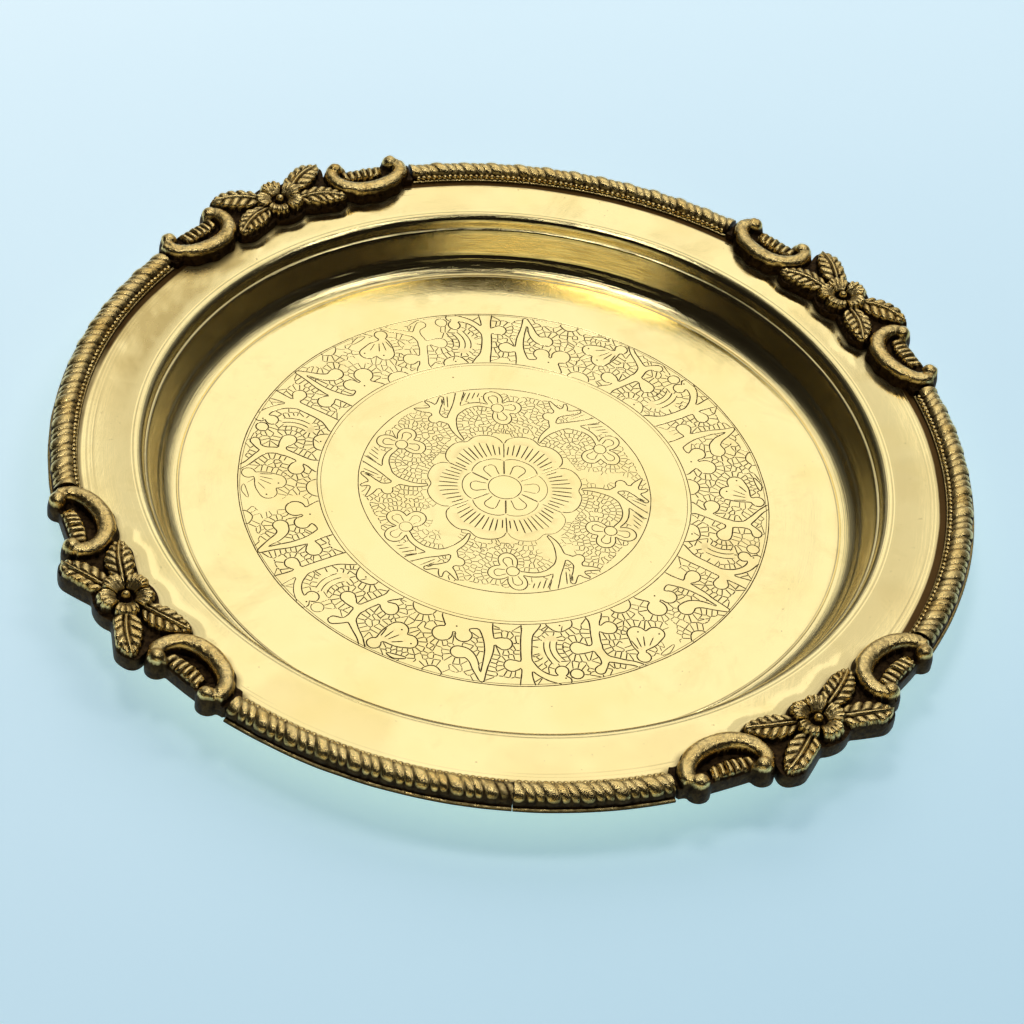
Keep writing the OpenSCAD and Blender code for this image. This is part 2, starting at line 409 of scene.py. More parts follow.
def rim_profile():
    r = np.concatenate([np.linspace(113.3, 121, 16), np.linspace(121.4, 128.6, 22)])
    z = np.full_like(r, RIM_Z) - 0.16 * np.sin(np.pi * np.clip((r - 113.3) / 14.5, 0, 1))
    for rg, dp in ((124.3, 0.045), (125.3, 0.05), (126.2, 0.06), (126.9, 0.04)):
        z -= dp * np.exp(-((r - rg) / 0.16) ** 2)
    return list(zip(r, z)) + [(RIM_R, RIM_Z)]


def warp(x, y, z):
    """Hand-made unevenness of the thin sheet: none at the table and at the rim's edge under the border."""
    r = np.hypot(x, y)
    w = smooth(20, 60, r) * (1 - smooth(126.5, 131, r))
    return z + w * (0.10 * fbm(x / 46 + 7, y / 46 + 3, 11, 2) + 0.035 * fbm(x / 13, y / 13, 21, 2))


def ring_verts(profile, n, cx=0.0, cy=0.0):
    a = np.arange(n) * 2 * np.pi / n
    out = []
    for r, z in profile:
        out.append(np.stack([r * np.cos(a) + cx, r * np.sin(a) + cy, np.full(n, z)], -1))
    return np.concatenate(out)


# ---------------------------------------------------------------- the engraved rosette and band
PAT_R = 82.5               # radius of the engraved piece, about the pattern's own centre
PAT_N = 480


def pol(a, r):
    t = np.radians(np.asarray(a, float)); r = np.asarray(r, float)
    return np.stack([r * np.cos(t), r * np.sin(t)], -1)


class Etch:
    """Collects chased lines as V grooves: an edge on each side and a bottom line."""

    def __init__(self):
        self.p, self.z, self.l, self.e, self.c, self.n = [], [], [], [], [], 0

    def add(self, pts, z, l):
        i = np.arange(len(pts)) + self.n
        self.p.append(np.asarray(pts, float)); self.z.append(np.broadcast_to(z, (len(pts),)).astype(float)); self.l.append(np.broadcast_to(l, (len(pts),)).astype(float))
        self.n += len(pts)
        return i

    def chain(self, i, closed=False, centre=False):
        if closed:
            i = np.append(i, i[0])
        self.e.append(np.stack([i[:-1], i[1:]], -1)); self.c.append(np.full(len(i) - 1, centre))

    def stroke(self, pts, hw, dark=1.0, closed=False, step=0.75, depth=0.55):
        pts = np.asarray(pts, float)
        if closed:
            pts = resample(np.vstack([pts, pts[:1]]), step)[:-1]
            d = np.roll(pts, -1, 0) - np.roll(pts, 1, 0)
        else:
            pts = resample(pts, step)
            # short blunt ends, and an even width between them
            L = max(np.hypot(*(pts[0] - pts[-1])), 1e-6)
            e = min(0.22, 0.3 * L)
            s = np.concatenate([[0], np.cumsum(np.hypot(*np.diff(pts, axis=0).T))])
            q = [np.array([np.interp(t, s, pts[:, 0]), np.interp(t, s, pts[:, 1])]) for t in (e, s[-1] - e)]
            pts = np.vstack([pts[:1], [q[0]], pts[1:-1] if len(pts) > 3 else np.zeros((0, 2)), [q[1]], pts[-1:]])
            d = np.gradient(pts, axis=0)
        d /= np.hypot(d[:, 0], d[:, 1])[:, None] + 1e-9
        nrm = np.stack([-d[:, 1], d[:, 0]], -1)
        w = np.broadcast_to(hw, (len(pts),)) * (0.82 + 0.36 * vnoise(pts[:, 0] * 1.3 + 9, pts[:, 1] * 1.3, 301))
        if closed:
            a = self.add(pts + nrm * w[:, None], 0, 0); b = self.add(pts - nrm * w[:, None], 0, 0)
            c = self.add(pts, -depth * w, dark)
            for q in (a, b, c):
                self.chain(q, True, q is c)
        else:
            w = w[1:-1]
            if len(w) > 3:
                w[0] *= 0.8; w[-1] *= 0.8
            a = self.add(pts[1:-1] + nrm[1:-1] * w[:, None], 0, 0); b = self.add(pts[1:-1] - nrm[1:-1] * w[:, None], 0, 0)
            c = self.add(pts[1:-1], -depth * w, dark)
            tips = self.add(pts[[0, -1]], 0, 0.1 * dark)
            for q in (a, b, c):
                self.chain(np.concatenate([tips[:1], q, tips[1:]]), False, q is c)

    def dot(self, c, r):
        ring = self.add(np.asarray(c) + pol(np.arange(8) * 45, r), 0, 0.0)
        mid = self.add(np.asarray(c) + pol(np.arange(8) * 45, r * 0.55), -0.16, 1.0)
        self.chain(ring, True); self.chain(mid, True, True)


class Field:
    """A signed field (negative inside the plain shapes) on a polar grid of one 60 degree unit, repeated six times."""

    def __init__(self, r0, r1, step=0.16, bend=0.5):
        self.r0, self.r1 = r0, r1
        self.nr = int((r1 - r0) / step) + 1
        self.na = int(math.radians(60) * (r0 + r1) / 2 / step)
        self.R = np.linspace(r0, r1, self.nr)
        self.A = np.arange(self.na) * 60.0 / self.na
        AA, RR = np.meshgrid(self.A, self.R)
        self.xy = [pol(AA + s, RR) for s in (-60, 0, 60)]
        self.g = np.full(AA.shape, 50.0)
        self.keep_out = self.g.copy()

    def tube(self, pts, k=0.5):
        """A plain shape along points (angle, R, half width)."""
        P = np.array([(*pol(a, r), w) for a, r, w in pts])
        if len(P) > 2:
            P = catmull(P, 4)
        for q in self.xy:
            d = np.full(self.g.shape, 1e9)
            for a, b in zip(P[:-1], P[1:]):
                v = b[:2] - a[:2]; L = v @ v + 1e-12
                t = np.clip(((q[..., 0] - a[0]) * v[0] + (q[..., 1] - a[1]) * v[1]) / L, 0, 1)
                d = np.minimum(d, np.hypot(q[..., 0] - a[0] - t * v[0], q[..., 1] - a[1] - t * v[1]) - (a[2] + t * (b[2] - a[2])))
            self.g = smin(self.g, d, k)

    def blob(self, a, r, w, k=0.5):
        c = pol(a, r)
        for q in self.xy:
            self.g = smin(self.g, np.hypot(q[..., 0] - c[0], q[..., 1] - c[1]) - w, k)

    def hold(self, pts):
        """No ground cells here: room for cuts drawn one by one."""
        g = self.g
        self.g = self.keep_out
        self.tube(pts, 0.1)
        self.keep_out, self.g = self.g, g

    def full(self, margin):
        """Whole ring: the shapes, and the two circles that bound the ring."""
        g = np.tile(np.minimum(self.g, self.keep_out), (1, 6))
        wall = np.minimum(self.R - self.r0, self.r1 - self.R)[:, None] + margin
        return np.minimum(g, wall)

    def sample(self, grid, pts):
        a = np.degrees(np.arctan2(pts[:, 1], pts[:, 0])) % 360
        r = np.hypot(pts[:, 0], pts[:, 1])
        n = grid.shape[1]
        x = a / 360 * n; y = np.clip((r - self.r0) / (self.r1 - self.r0), 0, 0.9999) * (self.nr - 1)
        xi = np.floor(x).astype(int); yi = np.floor(y).astype(int); fx = x - xi; fy = y - yi
        xi %= n; x1 = (xi + 1) % n
        return (grid[yi, xi] * (1 - fx) + grid[yi, x1] * fx) * (1 - fy) + (grid[yi + 1, xi] * (1 - fx) + grid[yi + 1, x1] * fx) * fy

    def contours(self, grid, level):
        """Marching squares round the whole ring; returns closed polylines in mm, and open ones that end at the bounding circles."""
        v = grid - level
        n = grid.shape[1]; m = self.nr
        v = np.where(v == 0, 1e-9, v)
        vr = np.roll(v, -1, 1)
        # crossing points on the edges between grid nodes: along the angle (h) and along the radius (w)
        hx = (v < 0) != (vr < 0)
        wx = (v[:-1] < 0) != (v[1:] < 0)
        hid = -np.ones(v.shape, int); wid = -np.ones(wx.shape, int)
        hi = np.nonzero(hx); wi = np.nonzero(wx)
        hid[hi] = np.arange(len(hi[0])); wid[wi] = np.arange(len(wi[0])) + len(hi[0])
        th = v[hi] / (v[hi] - vr[hi]); tw = v[:-1][wi] / (v[:-1][wi] - v[1:][wi])
        da = 360.0 / n; dr = (self.r1 - self.r0) / (m - 1)
        P = np.concatenate([pol((hi[1] + th) * da, self.r0 + hi[0] * dr), pol(wi[1] * da, self.r0 + (wi[0] + tw) * dr)])
        bottom = hid[:-1]; top = hid[1:]; left = wid; right = np.roll(wid, -1, 1)
        s = np.stack([bottom, right, top, left], -1).reshape(-1, 4)
        cnt = (s >= 0).sum(1)
        link = [[] for _ in range(len(P))]
        two = s[cnt == 2]
        for row in two:
            a, b = row[row >= 0]
            link[a].append(b); link[b].append(a)
        for row in s[cnt == 4]:
            for a, b in ((row[0], row[1]), (row[2], row[3])):
                link[a].append(b); link[b].append(a)
        seen = np.zeros(len(P), bool); out = []
        starts = [i for i in range(len(P)) if len(link[i]) == 1] + list(range(len(P)))
        for i in starts:
            if seen[i]:
                continue
            line = [i]; seen[i] = True; c = i
            while True:
                nx_ = [j for j in link[c] if not seen[j]]
                if not nx_:
                    break
                c = nx_[0]; seen[c] = True; line.append(c)
            closed = len(line) > 8 and line[0] in link[line[-1]]
            if len(line) > 5:
                out.append((P[line], closed))
        return out


def voronoi_lines(sites, grid, field, lo, rg, keep=0.85):
    """Edges of the cells round the sites, cut off at the plain shapes."""
    pts = [Vector((float(x), float(y))) for x, y in sites]
    res = geometry.delaunay_2d_cdt(pts, [], [], 0, 1e-5)
    V = np.array([[p[0], p[1]] for p in res[0]]); T = np.array(res[2])
    A, B, C = V[T[:, 0]], V[T[:, 1]], V[T[:, 2]]
    d = 2 * (A[:, 0] * (B[:, 1] - C[:, 1]) + B[:, 0] * (C[:, 1] - A[:, 1]) + C[:, 0] * (A[:, 1] - B[:, 1]))
    a2, b2, c2 = (A ** 2).sum(1), (B ** 2).sum(1), (C ** 2).sum(1)
    d = np.where(np.abs(d) < 1e-9, 1e-9, d)
    ux = (a2 * (B[:, 1] - C[:, 1]) + b2 * (C[:, 1] - A[:, 1]) + c2 * (A[:, 1] - B[:, 1])) / d
    uy = (a2 * (C[:, 0] - B[:, 0]) + b2 * (A[:, 0] - C[:, 0]) + c2 * (B[:, 0] - A[:, 0])) / d
    O = np.stack([ux, uy], -1)
    e = np.sort(np.concatenate([T[:, [0, 1]], T[:, [1, 2]], T[:, [2, 0]]]), axis=1)
    t = np.tile(np.arange(len(T)), 3)
    o = np.lexsort((e[:, 1], e[:, 0])); e = e[o]; t = t[o]
    same = (e[1:] == e[:-1]).all(1)
    k = np.nonzero(same)[0]
    P, Q = O[t[k]], O[t[k + 1]]
    out = []
    for p, q in zip(P, Q):
        L = np.hypot(*(q - p))
        if L < 0.25 or L > 9:
            continue
        n = max(3, int(L / 0.12))
        s = p + (q - p) * np.linspace(0, 1, n)[:, None]
        ok = field.sample(grid, s) > lo
        if not ok.any():
            continue
        # longest clear run
        best = (0, 0); i = 0
        while i < n:
            if ok[i]:
                j = i
                while j + 1 < n and ok[j + 1]:
                    j += 1
                if j - i > best[1] - best[0]:
                    best = (i, j)
                i = j + 1
            else:
                i += 1
        s = s[best[0]:best[1] + 1]
        if len(s) * 0.12 < 0.40 or rg.random() > keep:
            continue
        out.append(s)
    return out


def wobble(pts, seed=71):
    """The hand's wander, so that no two of the six repeats are quite alike."""
    x, y = pts[:, 0], pts[:, 1]
    r = np.hypot(x, y)
    k = smooth(3, 14, r)
    return np.stack([x + k * (0.75 * fbm(x / 9, y / 9, seed, 2) + 0.22 * fbm(x / 2.2, y / 2.2, seed + 9, 1)),
                     y + k * (0.75 * fbm(x / 9 + 31, y / 9, seed + 4, 2) + 0.22 * fbm(x / 2.2 + 17, y / 2.2, seed + 13, 1))], -1)


def worn(pts):
    """How far a line is worn away here, 0 to 1."""
    c = pts.mean(0) if pts.ndim > 1 else pts
    w = 2.0 * fbm(np.array([c[0] / 17 + 3.1]), np.array([c[1] / 17 + 8.2]), 91, 2)[0]
    w += 0.8 * fbm(np.array([c[0] / 4]), np.array([c[1] / 4]), 95, 1)[0]
    return float(np.clip(w * 1.6 + 0.08, 0, 1))


def pattern():
    et = Etch()
    rg = np.random.default_rng(5)

    def line(pts, hw, dark=1.0, closed=False, fill=False, step=0.75, wob=True, resist=0.0):
        pts = np.asarray(pts, float)
        if wob:
            pts = wobble(pts)
        w = worn(pts) - resist
        if fill and w > 0.62:
            return
        f = 1 - 0.5 * np.clip(w, 0, 1)
        et.stroke(pts, hw * f, dark * (1 - 0.45 * np.clip(w, 0, 1)), closed, step)

    def circle(r, hw, dark=1.0, seed=0, jit=0.10):
        n = int(2 * np.pi * r / 0.8)
        a = np.arange(n) * 360.0 / n
        rr = r + jit * 2 * fbm(np.cos(np.radians(a)) * 6 + 5 + seed, np.sin(np.radians(a)) * 6 + 5, 33 + seed, 3)
        et.stroke(pol(a, rr), hw, dark, True, 0.8)

    # --- centre: disc, six small petals with loops, ring of six broad petals
    circle(5.0, 0.15, 0.8, 1, 0.06)
    for k in range(6):
        c = 10 + 60 * k
        sep = c + 30
        line([(*pol(sep, 5.6),), (*pol(sep, 11.4),)], 0.17, 0.85)
        line([(*pol(sep + 2.6, 5.6),), (*pol(sep + 1.2, 11.2),)], 0.11, 0.6)
        a = np.linspace(-29.0, 29.0, 15)
        line(pol(c + a, 11.3 + 1.55 * np.cos(np.radians(a / 29.5 * 88)) ** 0.6), 0.15, 0.85)
        # loop
        er, et_ = pol(c, 1), pol(c + 90, 1)
        lp = [(5.5, 1.35), (7.3, 1.65), (8.6, 2.0), (9.7, 1.75), (10.35, 0.8), (10.35, -0.8), (9.7, -1.75), (8.6, -2.0), (7.3, -1.65), (5.5, -1.35)]
        line(catmull([er * x + et_ * y for x, y in lp], 4), 0.15, 0.8, step=0.6)
        # broad petal: two soft lobes and a shallow cleft
        a = np.linspace(-29.3, 29.3, 31)
        t = a / 29.3
        lobe = 19.3 + 4.35 * np.clip(1 - np.abs(t) ** 3.0, 0, 1) ** 0.62 - 1.35 * np.exp(-(t / 0.17) ** 2)
        line(pol(c + a, lobe), 0.17, 0.85, resist=0.2)
        line([(*pol(sep, 12.9),), (*pol(sep, 16.0),), (*pol(sep, 19.4),)], 0.18, 0.9)
        # short straight cuts, like the ribs of a petal
        for j in range(10):
            b = -25.5 + j * 51.0 / 9 + rg.uniform(-0.4, 0.4)
            u = b / 25.5
            r0 = 13.9 + 0.3 * rg.random()
            r1 = 20.4 - 2.6 * abs(u) ** 2.2 + rg.uniform(-0.3, 0.3) - 0.6 * math.exp(-(u / 0.14) ** 2)
            line([(*pol(c + b, r0),), (*pol(c + b, (r0 + r1) / 2),), (*pol(c + b + rg.uniform(-0.5, 0.5), r1),)], 0.205, 1.0, resist=0.5, step=2.0)

    # --- medallion ground: branching stems, three-petalled flowers, pointed leaves
    M = Field(22.0, 43.9, 0.16)
    M.tube([(12, 23.6, 0.45), (12.2, 26.5, 0.8), (11, 29.5, 1.1), (8.5, 33, 1.4), (5, 35.5, 1.35), (1.4, 38.8, 1.1), (-2.4, 43.4, 1.2)])
    M.tube([(5, 35.3, 1.2), (-2, 36.9, 1.0), (-8, 37.2, 0.85), (-13.5, 36.2, 0.75)])
    M.tube([(9.4, 31.8, 1.1), (13, 34.2, 1.1), (13.6, 37.4, 1.3), (11.5, 39.6, 1.5)])
    M.blob(16.4, 35.6, 1.75)
    M.tube([(12.4, 39.0, 1.3), (8.6, 40.8, 0.9), (6.2, 42.8, 0.75)], 0.3)
    M.tube([(12.4, 39.0, 1.3), (16.0, 40.2, 1.0), (19.4, 42.4, 0.35)], 0.3)
    M.tube([(12.4, 39.0, 1.1), (12.0, 41.6, 0.8), (13.0, 43.2, 0.5)], 0.3)
    fl = pol(-17.6, 35.3); fr, ft_ = pol(-17.6, 1), pol(72.4, 1)
    dirs = [fr * 0.97 + ft_ * 0.24, -ft_ * 0.99 + fr * 0.10, -fr * 0.96 - ft_ * 0.28]

    def back(p):
        return math.degrees(math.atan2(p[1], p[0])), float(np.hypot(*p))
    for d in dirs:
        q = [(*back(fl + d * x), w) for x, w in ((1.8, 1.3), (3.0, 2.3), (4.2, 2.85), (4.9, 2.8))]
        M.tube(q, 0.12)
    M.blob(-17.6, 35.3, 2.1, 0.1)
    M.hold([(3.9, 43, 0.8), (6.9, 39.2, 0.7)])
    M.hold([(-3.4, 41.2, 1.6), (-8.8, 41.4, 1.4)])
    gm = M.full(0.0)
    only = np.tile(M.g, (1, 6))
    # the petals' outline is part of the ground's inner edge
    aa = np.arange(gm.shape[1]) * 360.0 / gm.shape[1]
    tc = (((aa - 10 + 30) % 60) - 30) / 29.3
    inner = 19.3 + 4.35 * np.clip(1 - np.abs(tc) ** 3.0, 0, 1) ** 0.62 - 1.35 * np.exp(-(tc / 0.17) ** 2)
    gm = np.minimum(gm, M.R[:, None] - inner[None, :])
    gm = np.minimum(gm, (43.7 - M.R)[:, None])
    only = np.where(M.R[:, None] < inner[None, :] + 0.15, 9.0, only)
    for P, cl in M.contours(only, 0.0):
        P = P[(np.hypot(P[:, 0], P[:, 1]) < 43.75)] if not cl else P
        if len(P) > 6:
            line(P, 0.185, 0.95, cl, resist=0.1)
    for k in range(6):
        rot = 60 * k
        for d in dirs:
            dd = pol(math.degrees(math.atan2(d[1], d[0])) + rot, 1); nn = np.array([-dd[1], dd[0]])
            f0 = pol(-17.6 + rot, 35.3)
            lp = [(2.1, 0.9), (3.4, 1.1), (4.6, 1.45), (5.6, 0.9), (5.8, 0.0), (5.6, -0.9), (4.6, -1.45), (3.4, -1.1), (2.1, -0.9)]
            line(catmull([f0 + dd * x + nn * y for x, y in lp], 4), 0.15, 0.85, step=0.6)
        f0 = pol(-17.6 + rot, 35.3)
        line(f0 + pol(np.arange(18) * 20, 1.95), 0.16, 0.9, True, step=0.6)
        # straight cuts between trunk and leaf, and past the trunk
        for a0_, r0_, a1_, r1_ in ((3.4, 42.9, 6.3, 38.2), (4.9, 42.9, 7.2, 39.4), (6.2, 42.4, 7.6, 40.6), (-4.6, 42.9, -1.0, 39.2), (-6.4, 42.8, -3.6, 39.3), (-8.6, 42.6, -6.4, 39.9), (-10.4, 42.3, -9.0, 40.4)):
            line(pol([a0_ + rot, a1_ + rot], [r0_, r1_]), 0.17, 0.95)
    sites = []
    for lv, sp in ((0.95, 1.32), (2.85, 1.4), (4.7, 1.45)):
        for P, cl in M.contours(gm, lv):
            q = resample(P, sp)
            if lv > 1:
                q = q + rg.uniform(-0.12, 0.12, q.shape)
            sites.append(q)
    S = np.concatenate(sites)
    for s in voronoi_lines(S, gm, M, 0.14, rg, 0.93):
        line(s, 0.135, 0.85, fill=True, step=1.3)
    circle(44.15, 0.15, 0.85, 3, 0.12)

    # --- the band
    B = Field(56.5, 79.8, 0.18)
    B.tube([(5.2, 56.2, 2.6), (4.2, 59, 1.5), (2.3, 64, 1.25), (1.1, 69, 1.35), (1.6, 73, 1.3)])
    B.tube([(1.6, 73, 1.2), (4.2, 75.4, 0.95), (6.6, 77.6, 0.8), (8.2, 80, 0.8)])
    B.tube([(1.5, 72.6, 1.2), (0.6, 75.2, 1.0), (-0.9, 76.8, 1.6)])
    B.tube([(1.6, 67.8, 1.1), (-1.0, 68.2, 1.2), (-3.5, 67.2, 2.35)])
    B.tube([(3.6, 60.6, 0.9), (5.0, 62.6, 1.2), (6.9, 62.7, 2.5)], 0.25)
    B.blob(9.6, 76.8, 2.05, 0.05)
    B.tube([(10.2, 73.6, 1.3), (11.2, 71.2, 2.5), (12.2, 68.4, 2.9)], 0.8)
    B.tube([(11.2, 73.6, 1.3), (13.6, 72.6, 2.2), (16.0, 71.2, 2.6)], 0.8)
    B.tube([(13.4, 78.3, 0.35), (15.0, 78.2, 0.8), (17.2, 77.4, 0.35)], 0.1)
    B.blob(14.6, 56.2, 3.5, 0.2)
    B.blob(22.4, 64.0, 2.95, 0.7)
    B.blob(27.9, 63.2, 2.45, 0.7)
    B.tube([(22.6, 56.6, 2.4), (25.2, 59.6, 2.6), (28.6, 57.8, 2.4), (32.2, 56.8, 2.6)], 0.9)
    B.tube([(32.4, 56.4, 2.6), (33.5, 60, 1.8), (34.5, 65, 1.35), (34.5, 70, 1.05), (34.0, 75, 0.8), (33.8, 78.8, 0.75)])
    B.tube([(34.8, 63.8, 1.0), (36.4, 63.6, 1.3), (38.2, 64.1, 2.45)], 0.4)
    B.tube([(33.4, 78.3, 0.6), (32.3, 75.2, 0.95), (31.3, 72.0, 1.3), (29.6, 69.8, 1.7), (27.7, 69.8, 2.35)], 0.3)
    B.tube([(22.0, 79.2, 0.9), (23.4, 78.6, 1.5), (24.8, 79.2, 0.9)], 0.3)
    B.tube([(46.0, 56.2, 2.8), (44.4, 60.5, 1.75), (43.7, 66, 1.55), (43.4, 71, 1.55), (43.2, 75.5, 1.5), (43.2, 80.2, 2.2)])
    B.tube([(43.2, 71.0, 1.0), (41.8, 71.8, 1.1), (40.1, 72.3, 2.3)], 0.4)
    B.tube([(44.0, 71.0, 1.1), (45.8, 74.6, 1.05), (48.2, 77.2, 1.2), (51.2, 78.6, 1.7)])
    B.blob(51.0, 74.9, 1.95, 0.5)
    B.blob(54.0, 76.6, 1.9, 0.5)
    B.tube([(52.2, 56.6, 1.9), (53.6, 58.2, 2.1), (55.6, 57.2, 2.5)], 0.4)
    B.hold([(50.6, 63.0, 1.5), (49.0, 66.6, 2.6), (50.2, 70.2, 1.5)])
    gb = B.full(0.0)
    only = np.tile(B.g, (1, 6))
    for P, cl in B.contours(only, 0.0):
        line(P, 0.215, 1.0, cl, resist=0.1)
    for k in range(6):
        rot = 60 * k
        for a, r in ((12.9, 67.9), (16.7, 71.7), (25.3, 60.1), (51.4, 77.6), (54.2, 57.9)):
            et.dot(wobble(pol([a + rot], [r]))[0], 0.30)
        for s in ([(9.8, 73.4), (9.7, 69.6)], [(10.7, 73.3), (11.5, 69.4)], [(11.6, 73.4), (13.2, 70.0)], [(12.6, 73.9), (14.9, 71.9)]):
            line(pol([x + rot for x, _ in s], [y for _, y in s]), 0.20, 1.0)
        # crescents of the fan beside the round bud
        c0 = pol(56.5 + rot, 67.2)
        for rr, hw_ in ((4.4, 40), (6.2, 36), (8.0, 31), (9.8, 26)):
            line(c0 + pol(56.5 + rot + 270 + np.linspace(-hw_, hw_, 9), rr), 0.19, 0.95, step=0.8)
        line(pol([54.0 + rot, 54.9 + rot], [60.2, 58.2]), 0.16, 0.9)
    sites = []
    for lv, sp in ((1.22, 1.62), (3.7, 1.75), (6.1, 1.8)):
        for P, cl in B.contours(gb, lv):
            q = resample(P, sp)
            if lv > 1:
                q = q + rg.uniform(-0.15, 0.15, q.shape)
            sites.append(q)
    S = np.concatenate(sites)
    for s in voronoi_lines(S, gb, B, 0.12, rg, 0.95):
        line(s, 0.18, 0.95, fill=True, step=1.5)
    circle(80.0, 0.17, 0.85, 5, 0.22)
    circle(79.35, 0.10, 0.5, 6, 0.15)
    circle(56.4, 0.15, 0.75, 7, 0.14)
    circle(55.3, 0.09, 0.5, 8, 0.08)

    # --- lay them all into the flat sheet
    n_et = et.n
    P = np.concatenate(et.p); Z = np.concatenate(et.z); L = np.concatenate(et.l); E = np.concatenate(et.e); CF = np.concatenate(et.c)
    a = np.arange(PAT_N) * 360.0 / PAT_N
    outer = pol(a, PAT_R)
    # loose points in the plain ground keep the sheet's own unevenness
    gx, gy = np.meshgrid(np.arange(-80, 81, 3.2), np.arange(-80, 81, 3.2))
    loose = np.stack([gx.ravel(), gy.ravel()], -1) + rg.uniform(-0.5, 0.5, (gx.size, 2))
    rl = np.hypot(loose[:, 0], loose[:, 1])
    loose = loose[(rl < 80.8) & ((rl < 4) | ((rl > 45.3) & (rl < 54.5)) | (rl > 80.5))]
    allp = np.concatenate([P, outer, loose])
    i0 = len(P)
    oe = np.stack([i0 + np.arange(PAT_N), i0 + (np.arange(PAT_N) + 1) % PAT_N], -1)
    edges = np.concatenate([E, oe])
    res = geometry.delaunay_2d_cdt([Vector((float(x), float(y))) for x, y in allp], [tuple(map(int, e)) for e in edges], [], 0, 2e-4)
    vo = np.array([[p[0], p[1]] for p in res[0]])
    T = np.array([f for f in res[2]])
    src = [o for o in res[3]]
    Zall = np.concatenate([Z, np.zeros(len(outer) + len(loose))]); Lall = np.concatenate([L, np.zeros(len(outer) + len(loose))])
    z = np.empty(len(vo)); l = np.empty(len(vo)); ring = -np.ones(PAT_N, int)
    # where two lines cross, the new corner is as deep as the bottom line it lies on
    deep = np.zeros(len(vo), bool)
    for (va, vb), o in zip(res[1], res[4]):
        if any(j < len(CF) and CF[j] for j in o):
            deep[va] = True; deep[vb] = True
    for i, o in enumerate(src):
        if o:
            z[i] = min(Zall[j] for j in o); l[i] = max(Lall[j] for j in o)
            for j in o:
                if i0 <= j < i0 + PAT_N:
                    ring[j - i0] = i
        else:
            z[i] = -0.09 if deep[i] else 0.0; l[i] = 0.85 if deep[i] else 0.0
    A, Bv, C = vo[T[:, 0]], vo[T[:, 1]], vo[T[:, 2]]
    cr = (Bv[:, 0] - A[:, 0]) * (C[:, 1] - A[:, 1]) - (Bv[:, 1] - A[:, 1]) * (C[:, 0] - A[:, 0])
    T = np.where((cr < 0)[:, None], T[:, ::-1], T)
    return np.column_stack([vo, z]), T, l, ring


def make_floor():
    """The engraved middle of the well: the same sheet as the rest of the pan, cut from one flat piece."""
    V, T, l, ring = pattern()
    V = V.copy()
    V[:, 0] += PATT[0]; V[:, 1] += PATT[1]; V[:, 2] += SHEET
    V[:, 2] = warp(V[:, 0], V[:, 1], V[:, 2])
    edge = V[ring].copy()
    ob = new_mesh("pan_engraving", V, [T], {"line": l}, [MAT_PAN], sharp=11)
    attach(ob, "root"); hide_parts("pan")
    return edge


